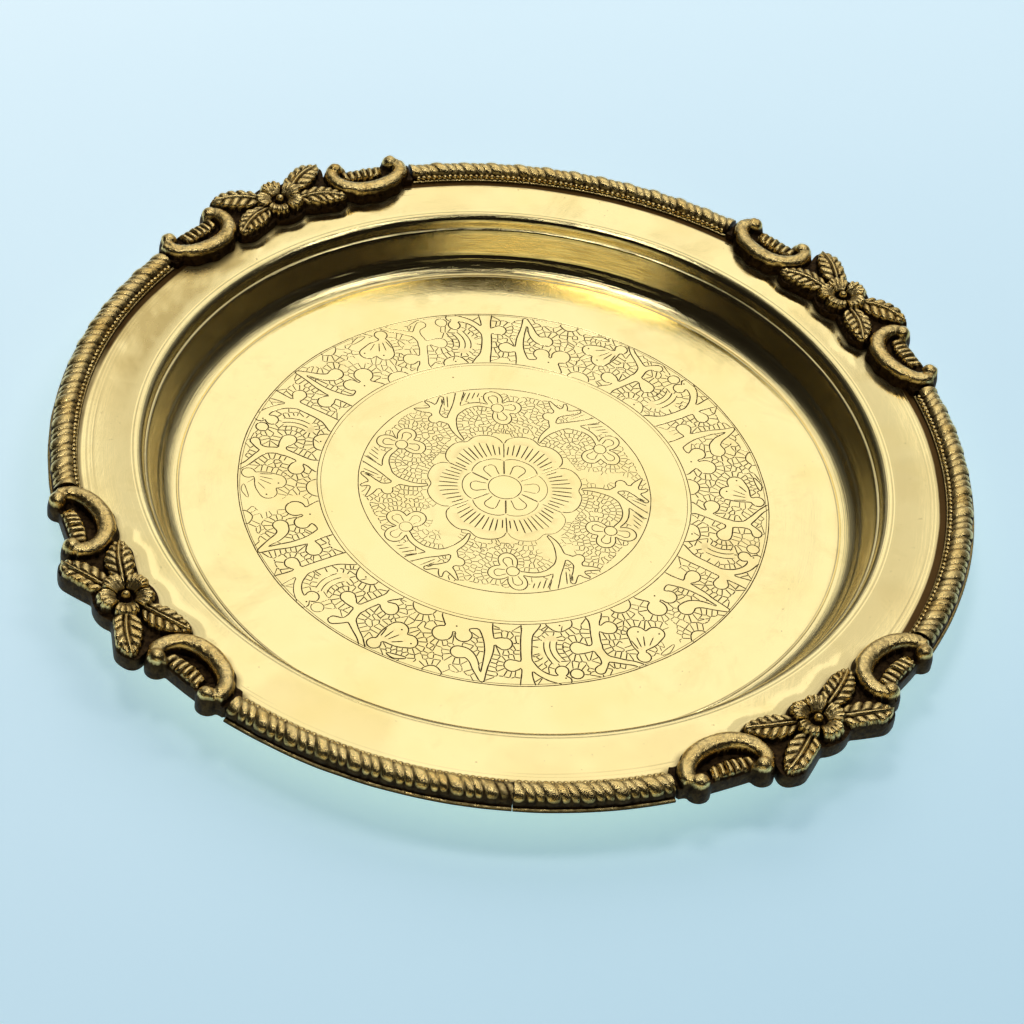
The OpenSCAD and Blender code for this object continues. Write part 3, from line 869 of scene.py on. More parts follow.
def make_pan():
    edge = make_floor()
    n = PAT_N
    a = np.arange(n) * 2 * np.pi / n
    verts = [edge]
    # plain floor between the engraving and the start of the profile
    for k in (0.33, 0.66, 1.0):
        x1, y1 = 91.5 * np.cos(a), 91.5 * np.sin(a)
        x, y = edge[:, 0] * (1 - k) + x1 * k, edge[:, 1] * (1 - k) + y1 * k
        verts.append(np.stack([x, y, warp(x, y, np.full(n, SHEET))], -1))
    prof1 = top_profile()
    verts.append(ring_verts(prof1, n))
    nfree = 4 * n
    nrows = 4 + len(prof1)
    idx_rows = np.arange(nrows)[:, None] * n + np.arange(n)[None, :]
    q = []
    A = idx_rows[:-1]; B = idx_rows[1:]
    A1 = np.roll(A, -1, axis=1); B1 = np.roll(B, -1, axis=1)
    q.append(np.stack([A, B, B1, A1], -1).reshape(-1, 4))
    # rim, on twice as many segments, so that ridges and lines stay crisp
    m = 2 * n
    last = idx_rows[-1]
    base = nrows * n
    prof2 = rim_profile()
    verts.append(ring_verts(prof2, m))
    i = np.arange(n)
    tri = [np.stack([last[i], base + 2 * i, base + (2 * i + 1) % m], -1),
           np.stack([last[i], base + (2 * i + 1) % m, last[(i + 1) % n]], -1),
           np.stack([last[(i + 1) % n], base + (2 * i + 1) % m, base + (2 * i + 2) % m], -1)]
    rows2 = base + np.arange(len(prof2))[:, None] * m + np.arange(m)[None, :]
    A = rows2[:-1]; B = rows2[1:]
    A1 = np.roll(A, -1, axis=1); B1 = np.roll(B, -1, axis=1)
    q.append(np.stack([A, B, B1, A1], -1).reshape(-1, 4))
    # underside, a sheet thickness away, coarser
    top = np.array([p for p in prof1 if p[0] > 98.5])
    d = np.gradient(top, axis=0); d /= np.hypot(d[:, 0], d[:, 1])[:, None]
    und = top + SHEET * np.stack([d[:, 1], -d[:, 0]], -1)
    und[:, 1] = np.clip(und[:, 1], 0.0, RIM_Z - SHEET)
    und = resample(np.vstack([[[99.0, 0.0]], und[(und[:, 0] > 99.4) & (und[:, 0] < 113.0)], [[113.4, RIM_Z - SHEET]]]), 1.1)
    und = [(RIM_R, RIM_Z - SHEET)] + [(r, RIM_Z - SHEET) for r in (130, 124, 118)] + [tuple(x) for x in und[::-1]] + [(80, 0), (55, 0), (30, 0), (8, 0)]
    h = m // 4
    base3 = base + len(prof2) * m
    verts.append(ring_verts(und, h))
    rows3 = base3 + np.arange(len(und))[:, None] * h + np.arange(h)[None, :]
    A = rows3[:-1]; B = rows3[1:]
    A1 = np.roll(A, -1, axis=1); B1 = np.roll(B, -1, axis=1)
    q.append(np.stack([A, B, B1, A1], -1).reshape(-1, 4))
    e = rows2[-1]; u = rows3[0]
    j = np.arange(h)
    for s in range(4):
        tri.append(np.stack([e[(4 * j + s) % m], u[j] if s < 2 else u[(j + 1) % h], e[(4 * j + s + 1) % m]], -1))
    tri.append(np.stack([e[(4 * j + 2) % m], u[j], u[(j + 1) % h]], -1))
    V = np.concatenate(verts + [np.array([[0, 0, 0.0]])])
    c = len(V) - 1
    k = rows3[-1]
    tri.append(np.stack([k, np.full(h, c), np.roll(k, -1)], -1))
    tri = [x.reshape(-1, 3) for x in tri]
    top_mask = np.zeros(len(V), bool); top_mask[nfree:base3] = True
    x, y, z = V[:, 0], V[:, 1], V[:, 2].copy()
    zz = warp(x, y, z)
    # a pressed ridge in the rim follows each cartouche, a little way in from it
    r = np.hypot(x, y); az = np.degrees(np.arctan2(y, x))
    cartouche_edge_shade = np.zeros(len(V))
    for ca in AZ.values():
        du = (az - ca + 180) % 360 - 180
        near = top_mask & (np.abs(du) < 26) & (r > 112)
        uu = np.radians(du[near]) * 131.0; vv = r[near] - 131.0
        g = outline(uu, vv)
        fade = smooth(31, 24, np.abs(uu))
        zz[near] += fade * (0.13 * np.exp(-((g - 3.9) / 1.3) ** 2) - 0.06 * np.exp(-((g - 1.6) / 1.1) ** 2))
        # painted shade: a dark band on the rim along each cartouche's outline, where its edge meets the rim
        cartouche_edge_shade[near] = np.maximum(cartouche_edge_shade[near], 0.36 * np.exp(-(np.clip(g, 0, None) / 1.5) ** 1.6))
    V[:, 2] = np.where(top_mask, zz, V[:, 2])
    # turned lines on the wall and rim hold a trace of old polish
    line = np.zeros(len(V))
    for rg, wd, amt in ((99.25, 0.25, 0.30), (112.75, 0.22, 0.13), (109.05, 0.2, 0.2), (125.3, 0.15, 0.09), (126.2, 0.15, 0.10)):
        line = np.maximum(line, np.where(top_mask, amt * np.exp(-((r - rg) / wd) ** 2), 0))
    # painted reflection and shade: a dark band on the rim along the border castings' edge,
    # thickest inside the border at the back and on the right
    deep = smooth(-0.75, 0.15, np.sin(np.radians(az + 22)))
    edge = 127.3 - 1.15 * deep + 0.35 * (fbm(az / 6, az * 0 + 2, 57, 2) - 0.5)
    line = np.maximum(line, np.where(top_mask, (0.24 + 0.36 * deep) * smooth(0, 1, (r - edge) / 0.8), 0))
    # scribed arcs left by the buffing tool just inside it
    for k, (rs, c_, w_) in enumerate(((124.6, -40, 30), (123.9, -22, 22), (125.2, -62, 26), (124.3, 200, 24), (125.0, 232, 20), (123.2, 128, 18))):
        on = smooth(1.0, 0.55, np.abs((az - c_ + 180) % 360 - 180) / w_)
        line = np.maximum(line, np.where(top_mask, 0.17 * on * np.exp(-((r - rs - 0.35 * np.sin(np.radians(az * 3 + 40 * k))) / 0.20) ** 2), 0))
    # a duller, scuffed stretch at the left of the rim
    dull = smooth(34, 12, np.abs((az - 158 + 180) % 360 - 180)) * smooth(113.5, 117, r)
    n_a = fbm(az / 3.2 + r / 5, r / 9 - az / 11, 63, 3); n_a = (n_a - n_a.mean()) / (n_a.std() + 1e-6)
    n_b = fbm(x / 21, y / 21, 67, 3); n_b = (n_b - n_b.mean()) / (n_b.std() + 1e-6)
    dull = dull * np.clip(0.75 + 0.22 * n_a, 0, 1) + 0.22 * np.clip(0.2 + 0.8 * n_b, 0, 1) * smooth(112, 115, r)
    dull = np.where(top_mask, np.clip(dull, 0, 1), 0)
    # the painted shade along the cartouches joins the line attribute
    line = np.maximum(line, cartouche_edge_shade)
    ob = new_mesh("pan_skin", V, q + tri, {"line": line, "dull": dull}, [MAT_PAN], sharp=40)
    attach(ob, "root"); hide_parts("pan")
    return ob


# ---------------------------------------------------------------- gadroon mouldings
GROUP = 9.05       # one wide rib and two narrow ones, mm at the ribs' centre line
BEAD = 1.79


def section():
    """Outer line of the moulding from its foot on the rim over the ribs to the lip, then back under it."""
    z0 = RIM_Z
    p = [(128.35, z0 - 0.03), (128.37, z0 + 0.25), (128.5, z0 + 0.52), (128.8, z0 + 0.70), (129.15, z0 + 0.66), (129.4, z0 + 0.55), (130.3, z0 + 0.55), (130.55, z0 + 0.75)]
    a = resample(p, 0.3)
    b = resample(arc(132.6, z0 - 0.20, 3.3, 152, -3, 44), 0.2)
    c = resample([(135.85, z0 - 0.55), (135.95, z0 - 0.72), (136.3, z0 - 0.76), (136.75, z0 - 0.8), (LIP_R - 0.12, z0 - 0.92), (LIP_R, z0 - 1.12), (LIP_R, LIP_Z + 0.35), (LIP_R - 0.1, LIP_Z + 0.08), (LIP_R - 0.3, LIP_Z)], 0.25)
    d = np.array([(SEAT_R + 0.02, LIP_Z), (SEAT_R + 0.02, z0 - 0.02)])
    return a, b, c, d


def make_gadroon(name, seed):
    a0, a1 = SPAN[name]
    # the two front lengths all but touch at their butt joint
    if name == "gadroon_front_left":
        a1 += 0.055
    if name == "gadroon_front_right":
        a0 -= 0.055
    rg = np.random.default_rng(seed)
    length = math.radians(a1 - a0) * 132.3
    nc = int(length / 0.26)
    s = np.linspace(0, length, nc)
    A, B, C, D = section()
    prof = np.vstack([A, B, C, D])
    tau = np.full(len(prof), -1.0)
    tau[len(A):len(A) + len(B)] = np.linspace(0, 1, len(B))
    tan = np.gradient(prof, axis=0); tan /= np.hypot(tan[:, 0], tan[:, 1])[:, None] + 1e-9
    nor = np.stack([-tan[:, 1], tan[:, 0]], -1)
    nor[len(A) + len(B):] = 0; nor[:len(A)] = 0
    S, T = np.meshgrid(s, tau)
    # ribs lean: they start on the inner side and sweep round as they fall outwards
    lean = 2.5 * (1 - smooth(-0.15, 0.75, T)) + 0.18 * np.sin(T * 5)
    x = (S + lean + rg.uniform(0, GROUP) * 0 + 1.0 + 0.16 * (vnoise(S / 6.0, T * 1.5 + 3, seed) - 0.5)) / GROUP
    ph = x - np.floor(x)
    cell = np.floor(x).astype(int)
    wide = 0.46
    nar = (1 - wide) / 2
    c1 = np.where(ph < wide, wide / 2, np.where(ph < wide + nar, wide + nar / 2, wide + 1.5 * nar))
    hw = np.where(ph < wide, wide / 2, nar / 2)
    q = np.clip(np.abs(ph - c1) / hw, 0, 1)
    dome = np.sqrt(np.clip(1 - (q * 0.985) ** 2.2, 0, 1))
    amp = np.where(ph < wide, 0.80, 0.50)
    amp = amp * (0.82 + 0.34 * vnoise(cell * 3.7 + np.where(ph < wide, 0, 1.7), T * 0 + 1, seed + 5))
    end = np.sqrt(np.clip(1 - np.clip((T - 0.80) / 0.20, 0, 1) ** 2, 0, 1)) * (0.35 + 0.65 * smooth(-0.02, 0.28, T))
    bulb = 1 + 0.14 * np.exp(-((T - 0.74) / 0.12) ** 2)
    live = (T >= 0)
    h = np.where(live, amp * dome * end * bulb, 0.0)
    h = h + np.where(live, 0.05 * fbm(S * 1.3, T * 12, seed + 9, 2), 0)
    # a worn and slightly crushed stretch beside the front butt joint
    if name == "gadroon_front_left":
        crush = smooth(length - 9.5, length - 7.0, S) * (1 - smooth(0.1, 0.85, T) * 0.55)
        h = h * (1 - 0.62 * crush * live)
    Rr = prof[:, 0][:, None] + nor[:, 0][:, None] * h
    Zz = prof[:, 1][:, None] + nor[:, 1][:, None] * h
    # lip edge isn't dead straight
    lipw = smooth(135.9, 136.8, prof[:, 0])[:, None]
    Rr = Rr - lipw * 0.16 * vnoise(S / 7.0, T * 0 + 2, seed + 3)
    patina_and_shade = np.where(live, 0.98 - np.clip(h / np.where(ph < wide, 0.76, 0.50), 0, 1) ** 1.1 * (0.60 + 0.40 * smooth(0.0, 0.28, T)), 0.0)
    # painted shade: the ribs' outer, lower side, which faces down and out, is darker
    patina_and_shade = patina_and_shade + np.where(live, 0.50 * smooth(0.60, 0.82, T) + 0.22 * (fbm(S / 2.2, T * 4, seed + 31, 2) - 0.5), 0)
    base_c = np.full(len(prof), 0.0)
    base_c[:len(A)] = np.interp(A[:, 0], [128.3, 128.5, 128.9, 129.3, 130.6], [0.85, 0.35, 0.22, 1.0, 1.1])
    cc = C[:, 0]
    base_c[len(A) + len(B):len(A) + len(B) + len(C)] = np.where(C[:, 1] > RIM_Z - 0.78, 1.05, np.where(C[:, 1] > RIM_Z - 1.0, 0.42, 0.70))
    base_c[-2:] = 0.8
    patina_and_shade = patina_and_shade + base_c[:, None]
    ang = math.radians(a0) + S / 132.3
    V = np.stack([Rr * np.cos(ang), Rr * np.sin(ang), Zz], -1)
    nr = len(prof)
    verts = V.reshape(-1, 3)
    F = quads(nr, nc)[:, ::-1]
    # close the loop underneath
    lo = (nr - 1) * nc + np.arange(nc - 1); hi = np.arange(nc - 1)
    F2 = np.stack([lo, hi, hi + 1, lo + 1], -1)[:, ::-1]
    cavs = [patina_and_shade.reshape(-1)]
    allv = [verts]
    faces4 = [F, F2]
    # end caps: fans about a point inside the section
    tris = []
    nbase = len(verts)
    for e, col in ((0, 0), (1, nc - 1)):
        loop = np.arange(nr) * nc + col
        aa = math.radians(a0) + s[col] / 132.3
        cpt = np.array([[132.6 * math.cos(aa), 132.6 * math.sin(aa), RIM_Z + 0.9]])
        allv.append(cpt); cavs.append(np.array([0.9]))
        nxt = np.roll(loop, -1)
        tri = np.stack([np.full(nr, nbase + e), loop, nxt], -1)
        tris.append(tri if e == 0 else tri[:, ::-1])
    nb = nbase + 2
    # beads: small separate balls let into the inner lip
    nbd = int((length - 1.2) / BEAD)
    st = (length - (nbd - 1) * BEAD) / 2
    ua = np.arange(10) * 2 * np.pi / 10
    va = np.radians(np.linspace(-90, 90, 8))[1:-1]
    bv = [(0, 0, -1)] + [(math.cos(v_) * math.cos(u_), math.cos(v_) * math.sin(u_), math.sin(v_)) for v_ in va for u_ in ua] + [(0, 0, 1)]
    bv = np.array(bv)
    bq = quads(len(va), 10, True, 1)
    bt = np.array([[0, 1 + (k + 1) % 10, 1 + k] for k in range(10)] + [[len(bv) - 1, len(bv) - 11 + k, len(bv) - 11 + (k + 1) % 10] for k in range(10)])
    bqs, bts = [], []
    for k in range(nbd):
        sc = 1.0 * (0.93 + 0.12 * rg.random())
        aa = math.radians(a0) + (st + k * BEAD + 0.08 * (rg.random() - 0.5)) / 132.3 * 1.0
        ctr = np.array([129.6 * math.cos(aa), 129.6 * math.sin(aa), RIM_Z + 1.12])
        allv.append(bv * sc * np.array([1, 1, 0.95]) + ctr)
        # painted shade: each bead is light on top and darker on its underside
        cavs.append(0.55 - 0.80 * smooth(-0.55, 0.10, bv[:, 2]))
        bqs.append(bq + nb); bts.append(bt + nb)
        nb += len(bv)
    ob = new_mesh(name + "_cast", np.concatenate(allv), faces4 + bqs + tris + bts, {"patina_and_shade": np.concatenate(cavs)}, [MAT_CAST], sharp=60)
    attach(ob, "root"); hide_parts(name)
    return ob


# ---------------------------------------------------------------- cartouches
DU, DV = 0.27, 0.25


def polydist(U, V, P):
    """Distance to a polyline with a value per point: returns distance, and the value interpolated at the nearest point. P: x, y, value..."""
    best = np.full(U.shape, 1e9); val = [np.zeros(U.shape) for _ in range(P.shape[1] - 2)]
    for a, b in zip(P[:-1], P[1:]):
        d = b[:2] - a[:2]; L = d @ d + 1e-12
        t = np.clip(((U - a[0]) * d[0] + (V - a[1]) * d[1]) / L, 0, 1)
        dist = np.hypot(U - a[0] - t * d[0], V - a[1] - t * d[1])
        m = dist < best
        best = np.where(m, dist, best)
        for k in range(len(val)):
            val[k] = np.where(m, a[2 + k] + t * (b[2 + k] - a[2 + k]), val[k])
    return best, val


def blur(a, s):
    n = int(3 * s) + 1
    k = np.exp(-0.5 * (np.arange(-n, n + 1) / s) ** 2); k /= k.sum()
    p = np.pad(a, n, mode="edge")
    p = np.apply_along_axis(lambda r: np.convolve(r, k, mode="valid"), 0, p)
    return np.apply_along_axis(lambda r: np.convolve(r, k, mode="valid"), 1, p)


def leaf_height(U, V, B, T, w, n, h0, h1, seed):
    """A leaf of raised fingers swept towards its tip, with slots between them. -1e3 outside it."""
    B = np.array(B, float); T = np.array(T, float)
    ax = T - B; L = np.hypot(*ax); ax /= L
    a = ((U - B[0]) * ax[0] + (V - B[1]) * ax[1]) / L
    b = (-(U - B[0]) * ax[1] + (V - B[1]) * ax[0])
    b = b - 0.6 * np.sin(a * 2.8)          # a gentle bend
    ab = np.abs(b)
    ac = np.clip(a, 0.0, 1.0)
    prof = w / 2 * np.sin(np.pi * ac ** 0.82) ** 0.60
    ph = (a * L - 0.62 * ab) / (L / n) + 0.25 + 0.22 * (vnoise(a * 5 + seed, np.sign(b) * 3 + 9, seed + 5) - 0.5)
    t = ph - np.floor(ph)
    s_ = np.sin(np.pi * t)
    edge = prof * (0.89 + 0.13 * np.clip(s_, 0, 1) ** 0.6)
    inside = (ab < edge) & (a > 0.0) & (a < 1.0)
    q = np.clip(ab / (edge + 1e-6), 0, 1)
    arch = np.sqrt(np.clip(1 - q ** 2.6, 0, 1))
    h = h0 + (h1 - h0) * (0.3 + 0.7 * np.sin(np.pi * (0.1 + 0.8 * ac))) * (0.45 + 0.55 * arch)
    h = h - 1.15 * (1 - np.clip(s_, 0, 1) ** 0.34) * smooth(0.10, 0.34, q) * (1 - 0.55 * smooth(0.82, 0.98, q))
    h = h + 0.18 * np.exp(-(b / 0.30) ** 2) - 0.85 * np.exp(-((ab - 0.72) / 0.26) ** 2) * (1 - 0.5 * ac)
    h = h - 0.8 * smooth(0.88, 1.0, q)
    return np.where(inside, h, -1e3)


def scroll_height(U, V):
    P = catmull([(40.3, 4.9, 2.1, 2.6), (42.2, 4.9, 2.3, 2.9), (43.3, 2.6, 2.5, 3.0), (42.5, -0.6, 2.6, 3.0), (39.0, -3.9, 2.75, 3.0), (33.2, -5.9, 2.85, 2.9),
                 (27.2, -5.7, 2.85, 2.9), (23.0, -3.4, 2.7, 3.0), (20.9, 0.2, 2.5, 3.1), (20.8, 3.6, 2.35, 3.2), (22.3, 5.8, 2.3, 3.1), (24.2, 5.4, 2.1, 2.8)], 6)
    d, (r, zc) = polydist(U, V, P)
    q = np.clip(d / r, 0, 1)
    tube = np.where(d < r, zc + 0.86 * r * np.clip(1 - q ** 2.5, 0, 1) ** 0.55, -1e3)
    # ball in each curl
    for (bx, by, br, bz) in ((41.0, 5.2, 2.6, 3.3), (22.9, 5.7, 2.55, 3.4)):
        dd = np.hypot(U - bx, V - by)
        ball = np.where(dd < br, bz + np.sqrt(np.clip(br * br - dd * dd, 0, None)), -1e3)
        tube = np.maximum(tube, ball)
    return tube, d, r


def ridge_height(U, V):
    """The corrugated block in the scroll's mouth."""
    t = (U - 30.6) / 6.4
    cy = 2.3 + 0.8 * t * t
    hl = 2.55 - 0.4 * t * t
    ph = (U - 24.3 - 0.10 * (V - cy) + 0.5 * (vnoise(U / 3.1 + 4, V / 4.0, 401) - 0.5)) / 2.08
    f = ph - np.floor(ph)
    q = np.clip(np.abs(V - cy) / hl, 0, 1)
    h = 2.35 + (0.2 + (0.95 + 0.6 * vnoise(np.floor(ph) * 1.7, V * 0 + 3, 402)) * np.clip(np.sin(np.pi * f), 0, 1) ** 0.55) * np.clip(1 - q ** 3.2, 0, 1) ** 0.5
    return np.where((np.abs(t) < 1.0) & (q < 1), h, -1e3)


def flower_height(U, V, turn):
    x = U; y = V + 0.3
    r = np.hypot(x, y); th = np.arctan2(y, x) - math.radians(90 + turn)
    k = np.round(th / (2 * np.pi / 5))
    t = (th - k * 2 * np.pi / 5) / 0.6283
    at = np.abs(t)
    # each petal: a broad cupped fan of five ribs with a scalloped rim
    rib = np.abs(np.cos(2.5 * np.pi * t))
    pr = 8.15 * (1 - 0.27 * at ** 3.2) * (0.93 + 0.075 * rib ** 0.7)
    inside = r < pr
    q = np.clip(r / pr, 0, 1)
    side = np.clip(1 - at ** 4, 0, 1) ** 0.5
    lift = 0.35 * np.sin(1.7 * k + 0.6)
    h = 3.6 + (1.9 + lift) * smooth(0.22, 0.74, q) * (0.5 + 0.5 * side) - 1.2 * smooth(0.88, 1.0, q)
    h = h - 0.78 * (1 - rib ** 0.45) * smooth(0.30, 0.5, q) * (1 - 0.55 * smooth(0.8, 1, q))
    h = h - 2.1 * smooth(0.84, 1.0, at) * smooth(0.25, 0.5, q)
    h = h - 1.6 * np.exp(-((r - 1.95) / 0.62) ** 2)
    dot = np.where(r < 1.3, 3.7 + np.sqrt(np.clip(1.3 ** 2 - r * r, 0, None)) * 1.15, -1e3)
    return np.maximum(np.where(inside, h, -1e3), dot)


def outline(U, V):
    """Negative inside the casting's wavy outline."""
    Ua = np.abs(U)

    def circ(x, y, r):
        return np.hypot(Ua - x, V - y) - r

    def caps(x0, y0, x1, y1, r):
        d, _ = polydist(Ua, V, np.array([[x0, y0, 0.0], [x1, y1, 0.0]]))
        return d - r

    def box(cx, cy, hx, hy, r):
        dx = np.abs(Ua - cx) - hx + r; dy = np.abs(V - cy) - hy + r
        return np.hypot(np.maximum(dx, 0), np.maximum(dy, 0)) + np.minimum(np.maximum(dx, dy), 0) - r
    g = circ(0, -0.2, 8.9)
    for other in (caps(7.5, 3.5, 15.0, 7.8, 4.3), circ(17.2, 9.2, 2.2), caps(9.0, -4.0, 17.0, -5.9, 4.0), circ(20.0, -7.2, 1.5),
                  box(13, -0.2, 13, 5.6, 1.5), box(31.6, 0.3, 11.2, 5.0, 1.5),
                  caps(39.0, -3.8, 42.6, 2.0, 3.0), caps(27.0, -5.7, 33.2, -6.0, 3.1), caps(33.2, -6.0, 39.0, -3.8, 3.0), caps(27.0, -5.7, 21.4, -1.4, 3.0),
                  circ(22.8, 5.6, 3.0), circ(40.9, 4.8, 3.0), box(43.2, 0.9, 3.55, 3.9, 0.5)):
        g = smin(g, other, 0.9)
    # trimmed square where it butts against the gadroon
    return np.maximum(g, Ua - math.radians(CART_HALF) * 131.0)


def make_cartouche(name, seed):
    az = math.radians(AZ[name])
    half = math.radians(CART_HALF) * 131.0
    rg = np.random.default_rng(seed)
    u = np.arange(-half - 1, half + 1, DU); v = np.arange(-11.6, 13.0, DV)
    U, V = np.meshgrid(u, v)
    # small hand-made differences between castings
    Uw = U + 0.35 * fbm(U / 9, V / 9, seed, 2); Vw = V + 0.35 * fbm(U / 9 + 40, V / 9, seed, 2)
    Ua = np.abs(Uw)
    G = outline(Uw, Vw)
    H = np.full(U.shape, 1.95) + 0.95 * fbm(U * 0.62, V * 0.62, seed + 2, 3)
    H = H + 0.35 * smooth(3, 8, Vw)
    hollow = np.hypot((Ua - 31.5) / 8.6, (Vw + 1.4) / 3.0)
    H = H - 0.75 * (1 - smooth(0.7, 1.1, hollow))
    feats = []
    tube, dtube, rt = scroll_height(Ua, Vw)
    # hammered tube; its outer curl came lumpy from the mould
    hammer = 0.22 * fbm(U * 0.55, V * 0.55, seed + 31, 3) + 0.75 * fbm(U * 0.75 + 5, V * 0.75, seed + 37, 2) * smooth(37.5, 41.5, Ua) * smooth(0, 2.5, Vw)
    feats.append(np.where(tube > -100, tube + hammer, tube))
    feats.append(ridge_height(Ua, Vw))
    turn = 0 if seed % 2 else 8
    feats.append(flower_height(Uw, Vw, turn))
    for sgn in (-1, 1):
        feats.append(leaf_height(Uw * sgn, Vw, (5.4, 2.7), (18.7, 10.1), 9.4, 5, 3.0, 5.1, seed))
        feats.append(leaf_height(Uw * sgn, Vw, (5.8, -2.4), (21.2, -7.9), 8.6, 6, 2.9, 4.9, seed + 1))
    top = H
    for f in feats:
        top = np.maximum(top, f)
    # a little noise over the whole top surface
    top = top + 0.22 * fbm(U * 1.1, V * 1.1, seed + 12, 3)
    edge = np.clip(-G, 0, 1.2)
    top = np.minimum(top, 2.3 + 5.0 * np.sqrt(np.clip(edge / 1.2, 0, 1)))
    top = np.clip(top, 0.5, 7.35)
    ref = np.where(G < 0.4, top, 1.6)
    patina_and_shade = 0.50 + 0.62 * (blur(ref, 2.6) - top) + 0.16 * (blur(ref, 9) - top)
    patina_and_shade = np.where(top < 2.75, np.maximum(patina_and_shade, 0.90), patina_and_shade)
    patina_and_shade = np.clip(patina_and_shade, 0.0, 1.2)
    # keep the cells inside the outline, and pull the ragged edge onto it
    inside = G < 0
    cell = inside[:-1, :-1] & inside[1:, :-1] & inside[:-1, 1:] & inside[1:, 1:]
    nr, nc = U.shape
    rr, cc = np.nonzero(cell)
    a = rr * nc + cc
    Q = np.stack([a, a + 1, a + nc + 1, a + nc], -1)
    used = np.zeros(nr * nc, bool); used[Q.ravel()] = True
    # boundary edges
    E = np.concatenate([Q[:, [0, 1]], Q[:, [1, 2]], Q[:, [2, 3]], Q[:, [3, 0]]])
    key = E[:, 0].astype(np.int64) * (nr * nc) + E[:, 1]
    rev = E[:, 1].astype(np.int64) * (nr * nc) + E[:, 0]
    bnd = E[~np.isin(key, rev)]
    nxt = dict(zip(bnd[:, 0].tolist(), bnd[:, 1].tolist()))
    # longest closed loop
    loops = []; seen = set()
    for s0 in list(nxt):
        if s0 in seen:
            continue
        lp = [s0]; seen.add(s0); c = nxt[s0]
        while c != s0 and c in nxt and c not in seen:
            lp.append(c); seen.add(c); c = nxt[c]
        loops.append(lp)
    loop = np.array(max(loops, key=len))
    Uf, Vf = U.ravel().copy(), V.ravel().copy()
    bu, bv = Uf[loop].copy(), Vf[loop].copy()
    for _ in range(6):
        wu = bu + 0.35 * fbm(bu / 9, bv / 9, seed, 2); wv = bv + 0.35 * fbm(bu / 9 + 40, bv / 9, seed, 2)
        g = outline(wu, wv); e = 0.02
        gx = (outline(wu + e, wv) - outline(wu - e, wv)) / (2 * e); gy = (outline(wu, wv + e) - outline(wu, wv - e)) / (2 * e)
        n2 = gx * gx + gy * gy + 0.05
        bu -= np.clip(g * gx / n2, -0.2, 0.2); bv -= np.clip(g * gy / n2, -0.2, 0.2)
        # keep the loop even
        bu = 0.5 * bu + 0.25 * (np.roll(bu, 1) + np.roll(bu, -1)); bv = 0.5 * bv + 0.25 * (np.roll(bv, 1) + np.roll(bv, -1))
    Uf[loop], Vf[loop] = bu, bv
    Z = top.ravel().copy()
    Z[loop] = np.minimum(Z[loop], 2.35)
    C = patina_and_shade.ravel().copy(); C[loop] = np.maximum(C[loop], 0.7)
    remap = -np.ones(nr * nc, int); ids = np.nonzero(used)[0]; remap[ids] = np.arange(len(ids))
    Qm = remap[Q]
    Ub, Vb, Zb, Cb = Uf[ids], Vf[ids], Z[ids], C[ids]
    lp = remap[loop]
    # side wall in rings, drawn in and out a little, down to the rim inside and to the lip outside
    N = len(lp)
    nx = np.roll(bu, -1) - np.roll(bu, 1); ny = np.roll(bv, -1) - np.roll(bv, 1)
    ln = np.hypot(nx, ny) + 1e-9
    ox, oy = ny / ln, -nx / ln
    cen = np.sign((bu * ox + bv * oy).sum())
    Rb = 131.0 + bv
    zb = np.where(Rb > SEAT_R, LIP_Z - RIM_Z, -0.02)
    rings = [lp]
    nb = len(ids)
    Us, Vs, Zs, Cs = [Ub], [Vb], [Zb], [Cb]
    ztop = Z[loop]
    for k, (f, off) in enumerate(((0.16, 0.14), (0.38, 0.24), (0.66, 0.28), (1.0, 0.30))):
        o = off * cen
        lim = np.where(np.abs(bu) > half - 0.6, 0.0, 1.0)
        Us.append(bu + ox * o * lim); Vs.append(bv + oy * o * lim)
        Zs.append(ztop * (1 - f) + zb * f)
        # the side walls are dark: patina, with painted shade on these steep faces
        Cs.append(np.full(N, 1.0) - 0.5 * vnoise(bu * 1.1 + bv * 0.6, np.full(N, 1.3 * k), seed + 77) * (0.25 + 0.45 * (k == 4)))
        rings.append(np.arange(N) + nb); nb += N
    sides = []
    for p, q in zip(rings[:-1], rings[1:]):
        sides.append(np.stack([p, q, np.roll(q, -1), np.roll(p, -1)], -1))
    # underside: triangulated between the bottom ring and two arcs at the seat
    bot_u, bot_v = Us[-1], Vs[-1]
    arc_u = np.arange(-half + 1.0, half - 0.9, 3.0)
    pts = [Vector((float(x), float(y))) for x, y in zip(bot_u, bot_v)]
    edges = [(i, (i + 1) % N) for i in range(N)]
    nA = len(arc_u)
    for off in (0.02, 0.14):
        b0 = len(pts)
        pts += [Vector((float(x), SEAT_R - 131.0 + off)) for x in arc_u]
        edges += [(b0 + i, b0 + i + 1) for i in range(nA - 1)]
    order = list(range(N))
    res = geometry.delaunay_2d_cdt(pts, edges, [order], 1, 1e-5)
    vo, fo, orig = res[0], res[2], res[3]
    src = np.array([o[0] if o else -1 for o in orig])
    bx = np.array([p[0] for p in vo]); by = np.array([p[1] for p in vo])
    bz = np.where(131.0 + by > SEAT_R + 0.08, LIP_Z - RIM_Z, -0.02)
    idx = np.empty(len(vo), int)
    newc = 0
    for i, s0 in enumerate(src):
        if 0 <= s0 < N:
            idx[i] = rings[-1][s0]
        else:
            idx[i] = nb + newc; newc += 1
    keep = np.array([not (0 <= s0 < N) for s0 in src])
    Us.append(bx[keep]); Vs.append(by[keep]); Zs.append(bz[keep]); Cs.append(np.full(keep.sum(), 0.8))
    ft = np.array([list(f) for f in fo if len(f) == 3])
    ft = idx[ft]
    Ua_, Va_, Za_, Ca_ = map(np.concatenate, (Us, Vs, Zs, Cs))
